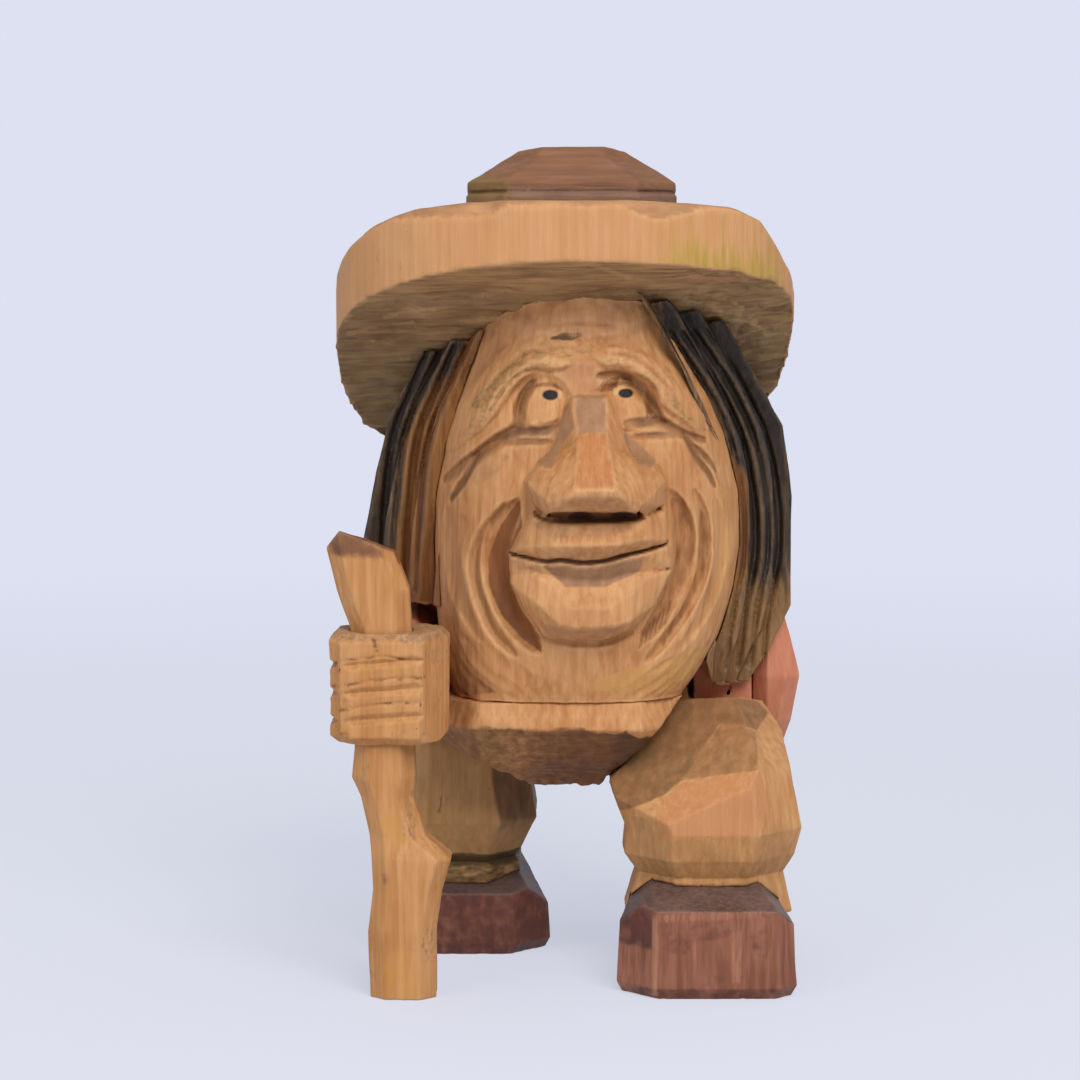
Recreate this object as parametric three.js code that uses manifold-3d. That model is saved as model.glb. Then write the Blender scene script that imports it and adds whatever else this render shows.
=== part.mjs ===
// Carved wooden troll: a big-headed figure in a drooping hat that leans on a crooked staff.
// Each block is cut the way a carver cuts it: a lofted or sawn blank, flat knife planes, then strokes
// of a V gouge. The blocks seat on each other across a glue gap and are held by hidden dowels.
// Millimetres, +Z up, the face looks along -Y. The origin is on the table, under the figure's middle.
// Right and left are the figure's own, so its right hand and the staff are at -X.

import * as THREE from "three";
import { ConvexGeometry } from "three/addons/geometries/ConvexGeometry.js";
import { mergeVertices } from "three/addons/utils/BufferGeometryUtils.js";
import Module from "manifold-3d";

const kernel = await Module();
kernel.setup();

// Fits.
const GLUE_GAP = 0.3;
const DOWEL_RADIUS = 2;
const DOWEL_CLEARANCE = 0.3;
const DOWEL_SIDES = 12;
const OVERRUN = 6; // how far a cutting block runs past the wood it takes away

// Head: an upright egg with a flat back. Each row is one level of the blank, measured up from the chin. The
// jaw sits towards the staff and is squarer than the rest: a higher power gives squarer corners.
const HEAD_X = 4.5;
const HEAD_BASE_Z = 51.5;
const HEAD_SIDES = 32;
const BACK_SEAT_Y = 14;
const HEAD_ROWS = [
  { up: 0, shift: -3.6, half: 21.4, front: 24.4, back: 24, power: 3.4 },
  { up: 4.5, shift: -2.6, half: 23.8, front: 26, back: 26, power: 3.1 },
  { up: 10, shift: -1.5, half: 25.8, front: 27, back: 27, power: 2.8 },
  { up: 18, shift: -0.5, half: 27.5, front: 27.8, back: 28, power: 2.5 },
  { up: 27, shift: 0, half: 28.6, front: 28.2, back: 28, power: 2.3 },
  { up: 36, shift: 0, half: 28.4, front: 28, back: 28, power: 2.25 },
  { up: 45, shift: 0, half: 26.6, front: 27.2, back: 28, power: 2.25 },
  { up: 53, shift: 0, half: 24.4, front: 26.2, back: 28, power: 2.25 },
  { up: 61, shift: 0, half: 21.8, front: 24.6, back: 28, power: 2.25 },
  { up: 69, shift: 0, half: 19.6, front: 23, back: 28, power: 2.25 },
  { up: 80, shift: 0, half: 17, front: 20, back: 28, power: 2.25 },
];

// Nose, lips and chin, all measured from the middle of the face.
const NOSE_TIP_Y = -42;
const NOSE_BOTTOM_Z = 86;
const NOSE_TOP_Z = 107;
const NOSE_HALF_WIDTH = 12;
const NOSE_FACET_HALF = 3.4;
const NOSE_STEP_Z = 99;
const NOSE_STEP_Y = -38.6;
const BRIDGE_HALF_WIDTH = 3.6;
const NOSTRIL_RADIUS = 1.5;
const NOSTRIL_SPACING = 7.2;
const MOUTH_Z = 78.6;
const MOUTH_HALF_WIDTH = 14;
const LIP_REACH_Y = -35.5;
const LIP_TOP_Z = 84.6;
const CHIN_REACH_Y = -36;
const CHIN_BOTTOM_Z = 62.5;
const CHIN_HALF_WIDTH = 14.4;

// Eyes and brows.
const EYE_Z = 104.4;
const EYE_SPACING = 15.6;
const SOCKET_HALF_WIDTH = 6.6;
const SOCKET_HALF_HEIGHT = 5;
const SOCKET_DEPTH = 3.4;
const SOCKET_LIFT = 1.4;
const EYEBALL_HALF_WIDTH = 4.2;
const EYEBALL_HALF_HEIGHT = 5.6;
const EYEBALL_HALF_DEPTH = 3.2;
const EYEBALL_SINK = 3.4;
const BROW_FOLD_DEPTH = 1.9;
const BROW_LINE_DEPTH = 0.8;

// Gouge strokes on the face.
const STROKE_WIDTH = 3;
const STROKE_DEPTH = 1.5;
const FOLD_WIDTH = 6.4;
const FOLD_DEPTH = 3;
const FOLD_RADIUS = 17.4;
const FOLD_STEP = 5.2;

// Hat. The brim is a thick sheet that falls to the back and droops a little at both sides.
const BRIM_FRONT_Y = -37;
const BRIM_BACK_Y = 33;
const BRIM_LEFT_X = 42;
const BRIM_RIGHT_X = -41.5;
const BRIM_FRONT_Z = 130;
const BRIM_BACK_Z = 90;
const BRIM_ARCH = 9;
const BRIM_THICKNESS = 10.6; // at the rim
const BRIM_ROOT = 7; // how much thicker the brim is over the head
const BRIM_DROOP_RIGHT = 6.6;
const BRIM_DROOP_LEFT = 2.8;
const BRIM_BEVEL_X = 32;
const BRIM_BEVEL_SLOPE = 1.1;
const BRIM_BEVEL_TURN = 0.12;
const BRIM_SIDES = 44;
const BRIM_CORNER_POWER = 2.9;
const BRIM_CORNER_RIGHT = 2.2;
const BRIM_CORNER_LEFT = 2.7;
const CROWN_X = 1.5;
const CROWN_Y = -1;
const CROWN_HALF_WIDTH = 19;
const CROWN_HALF_DEPTH = 16;
const CROWN_CORNER = 7;
const CROWN_RISE = 9.4; // above the front edge of the brim
const CROWN_SLOPE = 6.2; // height of the sloping shoulders
const CROWN_TOP_HALF = 9.6;
const CROWN_EDGE_WIDTH = 3.4;
const CROWN_EDGE_DEPTH = 2.4;
const CROWN_EDGE_DROP = 2;
const CROWN_BACK_TILT = 0.2;
const BAND_DROP = 1.8; // from the shoulders down to the band groove
const BAND_GROOVE = 0.7;
const CROWN_TOP_Z = BRIM_FRONT_Z + BRIM_THICKNESS + CROWN_RISE;
const CROWN_SHOULDER_Z = CROWN_TOP_Z - CROWN_SLOPE;
const BAND_Z = CROWN_SHOULDER_Z - BAND_DROP;

// Hair: thick locks at both sides of the face and one slab behind, cut into strands. Each row is one
// level of a lock, measured up from the head's base.
const HAIR_LEFT_ROWS = [
  { up: 0.5, inner: 27.5, face: -9, outer: 34, side: -5 },
  { up: 5.5, inner: 26, face: -13, outer: 37.5, side: -4 },
  { up: 14.5, inner: 27.5, face: -14, outer: 42, side: -2 },
  { up: 34.5, inner: 28.5, face: -14, outer: 42.3, side: 1 },
  { up: 47.5, inner: 26.5, face: -16.2, outer: 40.5, side: 0 },
  { up: 60.5, inner: 20.4, face: -21.2, outer: 33, side: -8 },
  { up: 74.5, inner: 12, face: -26, outer: 25, side: -15 },
];
const HAIR_RIGHT_ROWS = [
  { up: 15.5, inner: -22, face: -12, outer: -37, side: 4 },
  { up: 26.5, inner: -21, face: -13, outer: -37, side: 3 },
  { up: 38.5, inner: -20, face: -14, outer: -34.5, side: 2 },
  { up: 49.5, inner: -17.5, face: -14, outer: -32, side: 0 },
  { up: 60.5, inner: -13, face: -15, outer: -26, side: -4 },
  { up: 74.5, inner: -7, face: -16, outer: -18, side: -7 },
];
const HAIR_BACK_Y = 30;
const HAIR_BACK_GAP = 0.5; // over the top of the jacket
const HAIR_BACK_HALF = 34;
const STRAND_WIDTH = 4.6;
const STRAND_DEPTH = 2.2;
const SIDE_STRANDS = 3;
const OUTER_STRANDS = 2;
const BACK_STRANDS = 9;

// Body: hips under the head, and a jacket behind it.
const HIPS_LOW_Z = 34;
const HIPS_BACK_Y = 27;
const HIPS_RIGHT_X = -26;
const HIPS_LEFT_X = 24;
const BELLY_Y = -25;
const BELLY_BAND_Z = 46.4;
const CROTCH_HALF_WIDTH = 8;
const JACKET_TOP_Z = 65.5;
const JACKET_LOW_Z = 37;
const JACKET_BACK_Y = 33.5;
const JACKET_NECK_Y = 27.5;
const JACKET_CORNER = 11;
const JACKET_RIGHT_X = -37;
const JACKET_LEFT_X = 35;
const JACKET_FRONT_Y = -1.6;
const JACKET_HEM_SHARE = 0.8;
const HAIR_BACK_LOW_Z = JACKET_TOP_Z + HAIR_BACK_GAP;

// Sleeves.
const SLEEVE_RIGHT_X = -31;
const SLEEVE_RIGHT_HALF = 8;
const SLEEVE_RIGHT_Z = 56.5;
const SLEEVE_CUFF_HALF = 6.6;
const SLEEVE_LEFT_X = 44;
const SLEEVE_LEFT_LOW_Z = 38;
const SLEEVE_LEFT_BACK_Y = 19;
const ELBOW_Z = 52.5;

// Fist and staff.
const FIST_RIGHT_X = -41;
const FIST_LEFT_X = -20.3;
const FIST_LOW_Z = 45.8;
const FIST_TOP_Z = 65.4;
const FIST_FRONT_Y = -38.5;
const FIST_BACK_Y = -21;
const FIST_CORNER = 3.6;
const KNUCKLE_CUT_WIDTH = 5; // slanted facet beside the knuckles
const KNUCKLE_CUT_DEPTH = 8;
const FINGER_GROOVES = 3;
const FINGER_GROOVE_WIDTH = 2;
const FINGER_GROOVE_DEPTH = 1.5;
const STAFF_Y = -31;
const STAFF_ROWS = [
  { z: 0, x: -28.4, half: 5.9, deep: 5.2 },
  { z: 12, x: -28.6, half: 6, deep: 5.4 },
  { z: 19.5, x: -27.6, half: 6.1, deep: 5.4 },
  { z: 25, x: -26.9, half: 7.1, deep: 5.6 },
  { z: 29, x: -29.3, half: 5, deep: 5 },
  { z: 36, x: -31.2, half: 4.6, deep: 4.8 },
  { z: 39.5, x: -31.7, half: 5.6, deep: 5 },
  { z: 45, x: -31.6, half: 5.2, deep: 5 },
  { z: 66, x: -32.1, half: 5.3, deep: 5 },
  { z: 72.5, x: -33.4, half: 6.3, deep: 5.2 },
  { z: 86, x: -37.4, half: 5.4, deep: 5 },
];
const STAFF_CORNER = 2.6;
const STAFF_PEAK_X = -39.4;
const STAFF_PEAK_Z = 82.8;
const STAFF_TOP_SLOPE = 0.34;
const STAFF_TIP_SLOPE = 1.3;

// Legs. The rows are levels of the trouser blanks, from the hem up.
const LEG_LEFT_ROWS = [
  { z: 12.5, x: 26.3, half: 15.1, front: -26, back: -1.8, corner: 7 },
  { z: 19.6, x: 26.7, half: 13.1, front: -25.4, back: -1.8, corner: 7 },
  { z: 23, x: 26.4, half: 15.4, front: -27.4, back: -1.8, corner: 8 },
  { z: 28, x: 27.2, half: 15.8, front: -28.7, back: -1.8, corner: 8 },
  { z: 36, x: 24.8, half: 16.5, front: -28.4, back: -1.8, corner: 8 },
  { z: 44, x: 24.2, half: 16, front: -27, back: -1.8, corner: 8 },
  { z: 51.5, x: 24, half: 12, front: -24, back: -1.8, corner: 5 },
];
const LEG_RIGHT_ROWS = [
  { z: 9, x: -20.6, half: 12.4, front: 3.6, back: 30, corner: 6 },
  { z: 15.4, x: -20.6, half: 12.7, front: 3.2, back: 30, corner: 6 },
  { z: 16.6, x: -20.6, half: 11.8, front: 4.4, back: 29.2, corner: 6 },
  { z: 18.4, x: -20.4, half: 12.6, front: 2.6, back: 30, corner: 6 },
  { z: 24.8, x: -19, half: 14.2, front: -1, back: 31, corner: 7 },
  { z: 34, x: -19, half: 12.6, front: -1, back: 31, corner: 7 },
  { z: 46, x: -19, half: 12.6, front: -1, back: 30, corner: 7 },
];
// Flat cuts over the left thigh, each through three places; the wood below stays.
const THIGH_TOP_CUT = [[16.4, -28.6, 29], [36, -28.6, 37.6], [24, -9, 51.5]];
const KNEE_CUT = [[20.5, -28.6, 35.4], [36, -28.6, 37.8], [30, -18.5, 46]];
const THIGH_SIDE_CUT = [[36, -28.6, 37.8], [41, -12, 42], [30, -18, 49.5]];
const THIGH_BACK_CUT = [[10, -17, 51.6], [40, -17, 51.6], [24, -1.8, 47.6]];
const HIP_LEFT_INNER = [8, 35.2];
const HIP_LEFT_OUTER = [22.5, 51.6];
const HIP_RIGHT_INNER = [-7.2, 34.4];
const HIP_RIGHT_OUTER = [-25.5, 45];

// Shoes. Both are cut in the same way; the right one sits lower under its trouser leg.
const SHOE_LENGTH = 38;
const SHOE_WIDTH = 32;
const SHOE_TOE_DROP = 2.8;
const TOE_SLOPE_LENGTH = 12;
const SHOE_INNER_CORNER = 6.5;
const SHOE_OUTER_CORNER = 3;
const HEEL_WIDTH = 22;
const HEEL_CORNER = 5;
const SOLE_BEVEL = 2;
const INSTEP_HALF = 9.6;
const SHOE_SIDE_DROP = 6;
const SHOE_LEFT = { x: 25.4, toe: -36.2, height: 18.4, inner: -1 };
const SHOE_RIGHT = { x: -18.2, toe: -1.5, height: 14.2, inner: 1 };

// Dowels: each runs from one block into the next.
const HAT_DOWEL_LENGTH = 32;
const NECK_DOWEL_LENGTH = 16;
const HIP_DOWEL_LENGTH = 12;
const ANKLE_DOWEL_LENGTH = 12;
const WRIST_DOWEL_LENGTH = 11;
const ELBOW_DOWEL_LENGTH = 9;
const BACK_DOWEL_LENGTH = 12;

// Stains and bare wood.
const BARE_WOOD = 0xc69662;
const FACE_WOOD = 0xbf8a57;
const HAT_WOOD = 0x9b7448;
const HAIR_BLACK = 0x2b2620;
const JACKET_RED = 0xb5654a;
const TROUSER_OLIVE = 0x8f6b3f;
const SHOE_RED = 0x5e2f26;
const DOWEL_WOOD = 0xd9b98c;

const point = (x, y, z) => new THREE.Vector3(x, y, z);

/** Welds a closed three.js geometry into a solid that can be joined and cut. */
function solidOf(geometry) {
  const bare = geometry.clone();
  bare.deleteAttribute("normal");
  bare.deleteAttribute("uv");
  const welded = mergeVertices(bare, 1e-5);
  return new kernel.Manifold(
    new kernel.Mesh({
      numProp: 3,
      vertProperties: new Float32Array(welded.attributes.position.array),
      triVerts: new Uint32Array(welded.index.array),
    })
  );
}

/** Turns a solid back into a flat-shaded three.js geometry. */
function geometryOf(solid) {
  const mesh = solid.getMesh();
  const geometry = new THREE.BufferGeometry();
  geometry.setAttribute("position", new THREE.BufferAttribute(mesh.vertProperties, 3));
  geometry.setIndex(new THREE.BufferAttribute(mesh.triVerts, 1));
  const flat = geometry.toNonIndexed();
  flat.computeVertexNormals();
  return flat;
}

/** A solid from points and triangles, turned inside out where its volume comes out negative. */
function meshSolid(points, triangles) {
  const corner = points[triangles[0][0]];
  let volume = 0;
  for (const [a, b, c] of triangles) {
    const from = points[a].clone().sub(corner);
    const side = points[b].clone().sub(corner);
    volume += from.dot(side.cross(points[c].clone().sub(corner)));
  }
  const order = volume < 0 ? triangles.map(([a, b, c]) => [a, c, b]) : triangles;
  const geometry = new THREE.BufferGeometry().setFromPoints(points);
  geometry.setIndex(order.flat());
  return solidOf(geometry);
}

/** Skins rings that have the same number of points and closes both ends. */
function loft(rings) {
  const count = rings[0].length;
  const points = rings.flat();
  const triangles = [];
  const last = (rings.length - 1) * count;
  for (let ring = 0; ring < last; ring += count) {
    for (let i = 0; i < count; i += 1) {
      const next = (i + 1) % count;
      triangles.push([ring + i, ring + next, ring + count + next]);
      triangles.push([ring + i, ring + count + next, ring + count + i]);
    }
  }
  for (let i = 1; i < count - 1; i += 1) {
    triangles.push([0, i + 1, i]);
    triangles.push([last, last + i, last + i + 1]);
  }
  return meshSolid(points, triangles);
}

/** The convex block that a set of corner points spans. */
const hull = (corners) => solidOf(new ConvexGeometry(corners));

/** An upright box between two corners. */
function block(low, high) {
  const size = high.clone().sub(low);
  const box = new THREE.BoxGeometry(size.x, size.y, size.z);
  const middle = low.clone().add(high).multiplyScalar(0.5);
  return solidOf(box.translate(middle.x, middle.y, middle.z));
}

/** Keeps the wood on the far side of a knife plane, where the normal points. */
function knife(solid, through, normal) {
  const unit = normal.clone().normalize();
  return solid.trimByPlane(unit.toArray(), unit.dot(through));
}

/** An eight-sided ring in a level plane: a rectangle with its corners cut off. */
function octagon(x, y, z, halfX, halfY, corner) {
  const cut = Math.min(corner, halfX * 0.9, halfY * 0.9);
  const ring = [
    [halfX, -halfY + cut],
    [halfX, halfY - cut],
    [halfX - cut, halfY],
    [-halfX + cut, halfY],
    [-halfX, halfY - cut],
    [-halfX, -halfY + cut],
    [-halfX + cut, -halfY],
    [halfX - cut, -halfY],
  ];
  return ring.map(([dx, dy]) => point(x + dx, y + dy, z));
}

/** One row of a table of levels, blended between the two rows that lie around the given height. */
function rowAt(rows, key, height) {
  let low = rows[0];
  let high = rows[rows.length - 1];
  for (const row of rows) {
    if (row[key] <= height) low = row;
  }
  for (const row of [...rows].reverse()) {
    if (row[key] >= height) high = row;
  }
  const span = high[key] - low[key];
  const share = span > 0 ? (height - low[key]) / span : 0;
  const blend = (name) => [name, THREE.MathUtils.lerp(low[name], high[name], share)];
  return Object.fromEntries(Object.keys(low).map(blend));
}

/** A rounded number that keeps its sign, for the squarish ovals. */
const signedPower = (value, power) => Math.sign(value) * Math.abs(value) ** power;

/** One level of the head's egg, let out by a clearance. */
function headRing(row, grow) {
  const ring = [];
  for (let i = 0; i < HEAD_SIDES; i += 1) {
    const angle = (i / HEAD_SIDES) * Math.PI * 2;
    const reach = Math.sin(angle) < 0 ? row.front : row.back;
    const x = (row.half + grow) * signedPower(Math.cos(angle), 2 / row.power);
    const y = (reach + grow) * signedPower(Math.sin(angle), 2 / row.power);
    ring.push(point(HEAD_X + row.shift + x, y, HEAD_BASE_Z + row.up));
  }
  return ring;
}

const headBlank = (grow) => loft(HEAD_ROWS.map((row) => headRing(row, grow)));

/** Front of the bare egg at a place on the face; dx is measured from the middle of the face. */
function faceY(dx, z) {
  const row = rowAt(HEAD_ROWS, "up", z - HEAD_BASE_Z);
  const share = Math.min(Math.abs(dx - row.shift) / row.half, 0.98);
  return -row.front * (1 - share ** row.power) ** (1 / row.power);
}

/** A point on the face and the direction that looks out of it. */
function onFace(dx, z) {
  const step = 0.5;
  const slopeX = (faceY(dx + step, z) - faceY(dx - step, z)) / (2 * step);
  const slopeZ = (faceY(dx, z + step) - faceY(dx, z - step)) / (2 * step);
  return {
    at: point(HEAD_X + dx, faceY(dx, z), z),
    out: point(slopeX, -1, slopeZ).normalize(),
  };
}

/** A tapering V-gouge stroke through stations of a surface, as the wedge of wood that it removes. */
function gouge(stations, width, depth, taper = 0.3) {
  const rings = stations.map(({ at, out }, i) => {
    const before = stations[Math.max(i - 1, 0)].at;
    const after = stations[Math.min(i + 1, stations.length - 1)].at;
    const along = after.clone().sub(before).normalize();
    const across = along.clone().cross(out).normalize();
    const share = Math.sin((Math.PI * (i + 0.5)) / stations.length) ** 0.5;
    const size = taper + (1 - taper) * share;
    const lift = depth;
    const half = (width / 2) * size * (1 + lift / depth);
    const edge = at.clone().addScaledVector(out, lift);
    return [
      at.clone().addScaledVector(out, -depth * size),
      edge.clone().addScaledVector(across, half),
      edge.clone().addScaledVector(across, -half),
    ];
  });
  return loft(rings);
}

/** Stations of a face stroke along a quadratic curve given as three places on the face. */
function faceStroke(from, bend, to, width, depth, steps = 6) {
  const curve = new THREE.QuadraticBezierCurve(
    new THREE.Vector2(...from),
    new THREE.Vector2(...bend),
    new THREE.Vector2(...to)
  );
  return gouge(curve.getPoints(steps).map((place) => onFace(place.x, place.y)), width, depth);
}

/** A ball as a solid, coarse enough to look cut with a knife. */
const ball = (at, radius, across = 12, up = 8) =>
  solidOf(new THREE.SphereGeometry(radius, across, up).translate(at.x, at.y, at.z));

/** The nose: a narrow bridge with a flat front, flaring out into a broad faceted bulb with two nostrils. */
function nose() {
  const tip = NOSE_TIP_Y;
  const low = NOSE_BOTTOM_Z;
  const high = NOSE_TOP_Z;
  const wing = NOSE_HALF_WIDTH;
  const facet = NOSE_FACET_HALF;
  const both = (dx, y, z) => [point(HEAD_X - dx, y, z), point(HEAD_X + dx, y, z)];
  const cheek = faceY(wing, low + 6);
  const bridge = hull([
    ...both(BRIDGE_HALF_WIDTH * 0.9, faceY(0, high) - 1.4, high),
    ...both(BRIDGE_HALF_WIDTH, NOSE_STEP_Y, NOSE_STEP_Z),
    ...both(facet, tip, low + 4),
    ...both(BRIDGE_HALF_WIDTH * 1.9, faceY(0, high) + 1.5, high - 3),
    ...both(BRIDGE_HALF_WIDTH * 2.1, cheek - 2.5, low + 9),
    ...both(BRIDGE_HALF_WIDTH, 0, high - 3),
    ...both(BRIDGE_HALF_WIDTH, 0, low + 4),
  ]);
  const bulb = hull([
    ...both(facet, tip, low + 4),
    ...both(facet + 0.4, tip + 2, low + 9),
    ...both(facet + 2.8, tip + 2.6, low + 0.6),
    ...both(wing, cheek - 4, low + 6.4),
    ...both(wing * 0.97, cheek - 6.4, low + 3.4),
    ...both(wing * 0.78, cheek - 5, low),
    ...both(wing * 0.8, cheek + 1, low + 10),
    ...both(wing * 0.8, 0, low),
    ...both(wing * 0.8, 0, low + 9),
  ]);
  const nostrils = both(NOSTRIL_SPACING / 2, tip + 4.6, low).map((at) => ball(at, NOSTRIL_RADIUS, 8, 6));
  return nostrils.reduce((solid, hole) => solid.subtract(hole), bridge.add(bulb));
}

/** A faceted cushion that stands out of the face between two heights. */
function cushion(rows) {
  const corners = [];
  for (const { z, half, reach } of rows) {
    for (const [across, drop] of [[0.45, 0], [0.82, 0.34], [1, 0.8]]) {
      const wall = faceY(half * across, z) + 1;
      const y = THREE.MathUtils.lerp(reach, wall, drop);
      corners.push(point(HEAD_X - half * across, y, z), point(HEAD_X + half * across, y, z));
    }
    corners.push(point(HEAD_X - half * 0.9, -8, z), point(HEAD_X + half * 0.9, -8, z));
  }
  return hull(corners);
}

/** Upper lip, lower lip with chin, and the dark line of the mouth between them. */
function mouth() {
  const lip = LIP_REACH_Y;
  const chin = CHIN_REACH_Y;
  const middle = (MOUTH_Z + CHIN_BOTTOM_Z) / 2;
  const upper = cushion([
    { z: LIP_TOP_Z + 3, half: MOUTH_HALF_WIDTH * 0.8, reach: lip + 3 },
    { z: LIP_TOP_Z - 2, half: MOUTH_HALF_WIDTH * 0.98, reach: lip - 0.4 },
    { z: MOUTH_Z + 1.6, half: MOUTH_HALF_WIDTH, reach: lip + 0.4 },
    { z: MOUTH_Z + 0.2, half: MOUTH_HALF_WIDTH * 0.96, reach: lip + 2.4 },
  ]);
  const lower = cushion([
    { z: MOUTH_Z - 0.2, half: MOUTH_HALF_WIDTH * 0.97, reach: chin + 3.4 },
    { z: MOUTH_Z - 2.4, half: CHIN_HALF_WIDTH, reach: chin + 1 },
    { z: middle, half: CHIN_HALF_WIDTH * 0.97, reach: chin },
    { z: middle - 4.5, half: CHIN_HALF_WIDTH * 0.78, reach: chin + 1.6 },
    { z: CHIN_BOTTOM_Z, half: CHIN_HALF_WIDTH * 0.42, reach: chin + 5.5 },
    { z: CHIN_BOTTOM_Z - 1.4, half: CHIN_HALF_WIDTH * 0.3, reach: chin + 9 },
  ]);
  return upper.add(lower);
}

/** Arc-shaped folds round the mouth, the smile, on one side of the face. */
function smileFold(side, ring) {
  const radius = FOLD_RADIUS + ring * FOLD_STEP;
  const middle = (MOUTH_Z + CHIN_BOTTOM_Z) / 2 + 4;
  const first = THREE.MathUtils.degToRad(42 - ring * 12);
  const last = THREE.MathUtils.degToRad(-66 - ring * 4);
  const steps = 8;
  const stations = [];
  for (let i = 0; i <= steps; i += 1) {
    const angle = THREE.MathUtils.lerp(first, last, i / steps);
    const dx = side * radius * 1.02 * Math.cos(angle);
    stations.push(onFace(dx, middle + radius * 1.06 * Math.sin(angle)));
  }
  const share = ring === 0 ? 1 : 0.62;
  return gouge(stations, FOLD_WIDTH * share, FOLD_DEPTH * (ring === 0 ? 1 : 0.5));
}

/** A ball drawn out to an egg along the three axes. */
function egg(at, halfX, halfY, halfZ) {
  const shape = new THREE.SphereGeometry(1, 14, 10).rotateX(Math.PI / 2);
  return solidOf(shape.scale(halfX, halfY, halfZ).translate(at.x, at.y, at.z));
}

/** Socket, eyeball, brow line, brow fold, lower lid and crow's foot of one eye. */
function eye(head, side) {
  const seat = onFace((side * EYE_SPACING) / 2, EYE_Z).at;
  const raised = point(seat.x, seat.y, seat.z + SOCKET_LIFT);
  const sunk = point(seat.x, seat.y + EYEBALL_SINK, seat.z);
  const hollow = egg(raised, SOCKET_HALF_WIDTH, SOCKET_DEPTH, SOCKET_HALF_HEIGHT);
  const eyeball = egg(sunk, EYEBALL_HALF_WIDTH, EYEBALL_HALF_DEPTH, EYEBALL_HALF_HEIGHT);
  const fold = faceStroke(
    [side * 9, EYE_Z + 5],
    [side * 15, EYE_Z - 2],
    [side * 24, EYE_Z - 12.5],
    STROKE_WIDTH,
    BROW_FOLD_DEPTH
  );
  const lid = faceStroke(
    [side * 5.4, EYE_Z - 4],
    [side * 10, EYE_Z - 6.2],
    [side * 18, EYE_Z - 8],
    STROKE_WIDTH * 0.8,
    STROKE_DEPTH * 0.7
  );
  const foot = faceStroke(
    [side * 17.5, EYE_Z - 9],
    [side * 21, EYE_Z - 13],
    [side * 23, EYE_Z - 17.5],
    STROKE_WIDTH * 0.8,
    STROKE_DEPTH
  );
  const brow = faceStroke(
    [side * 3.5, EYE_Z + 10.5],
    [side * 12, EYE_Z + 10.5],
    [side * 20.5, EYE_Z - 2],
    STROKE_WIDTH * 1.2,
    BROW_LINE_DEPTH
  );
  const carved = [hollow, fold, lid, foot, brow].reduce((solid, cut) => solid.subtract(cut), head);
  return carved.add(eyeball);
}

/** Level of the bent brim along its middle: a parabola that falls from front to back. */
function brimBend(y) {
  const share = (y - BRIM_FRONT_Y) / (BRIM_BACK_Y - BRIM_FRONT_Y);
  return THREE.MathUtils.lerp(BRIM_FRONT_Z, BRIM_BACK_Z, share) + 4 * BRIM_ARCH * share * (1 - share);
}

/** How far the brim hangs down at its sides; a higher power keeps the middle flatter. */
function brimDroop(x, power) {
  const droop = x < 0 ? BRIM_DROOP_RIGHT : BRIM_DROOP_LEFT;
  return droop * Math.abs((2 * x) / (BRIM_LEFT_X - BRIM_RIGHT_X)) ** power;
}

/** Carved underside of the brim, with wood left standing round the head. */
function brimUnder(x, y) {
  const across = (2 * x - BRIM_LEFT_X - BRIM_RIGHT_X) / (BRIM_LEFT_X - BRIM_RIGHT_X);
  const along = (2 * y - BRIM_BACK_Y - BRIM_FRONT_Y) / (BRIM_BACK_Y - BRIM_FRONT_Y);
  const root = BRIM_ROOT * Math.max(1 - across ** 2 - along ** 2, 0);
  return brimBend(y) - brimDroop(x, 2) - root;
}

/** Top of the brim, rounded off along its left edge towards the front. */
function brimOver(x, y) {
  const bevel = Math.max(x - BRIM_BEVEL_X - BRIM_BEVEL_TURN * (y - BRIM_FRONT_Y), 0);
  return brimBend(y) + BRIM_THICKNESS - brimDroop(x, 4) - BRIM_BEVEL_SLOPE * bevel;
}

/** Plan of the brim: a rounded square, with its right front corner rounder than the left. */
function brimOutline(grow) {
  const middleX = (BRIM_LEFT_X + BRIM_RIGHT_X) / 2;
  const middleY = (BRIM_FRONT_Y + BRIM_BACK_Y) / 2;
  const halfX = (BRIM_LEFT_X - BRIM_RIGHT_X) / 2 + grow;
  const halfY = (BRIM_BACK_Y - BRIM_FRONT_Y) / 2 + grow;
  const outline = [];
  for (let i = 0; i < BRIM_SIDES; i += 1) {
    const angle = (i / BRIM_SIDES) * Math.PI * 2;
    const front = Math.cos(angle) < 0 ? BRIM_CORNER_RIGHT : BRIM_CORNER_LEFT;
    const power = 2 / (Math.sin(angle) < 0 ? front : BRIM_CORNER_POWER);
    const x = middleX + halfX * signedPower(Math.cos(angle), power);
    const y = middleY + halfY * signedPower(Math.sin(angle), power);
    outline.push(new THREE.Vector2(x, y));
  }
  return outline;
}

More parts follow.
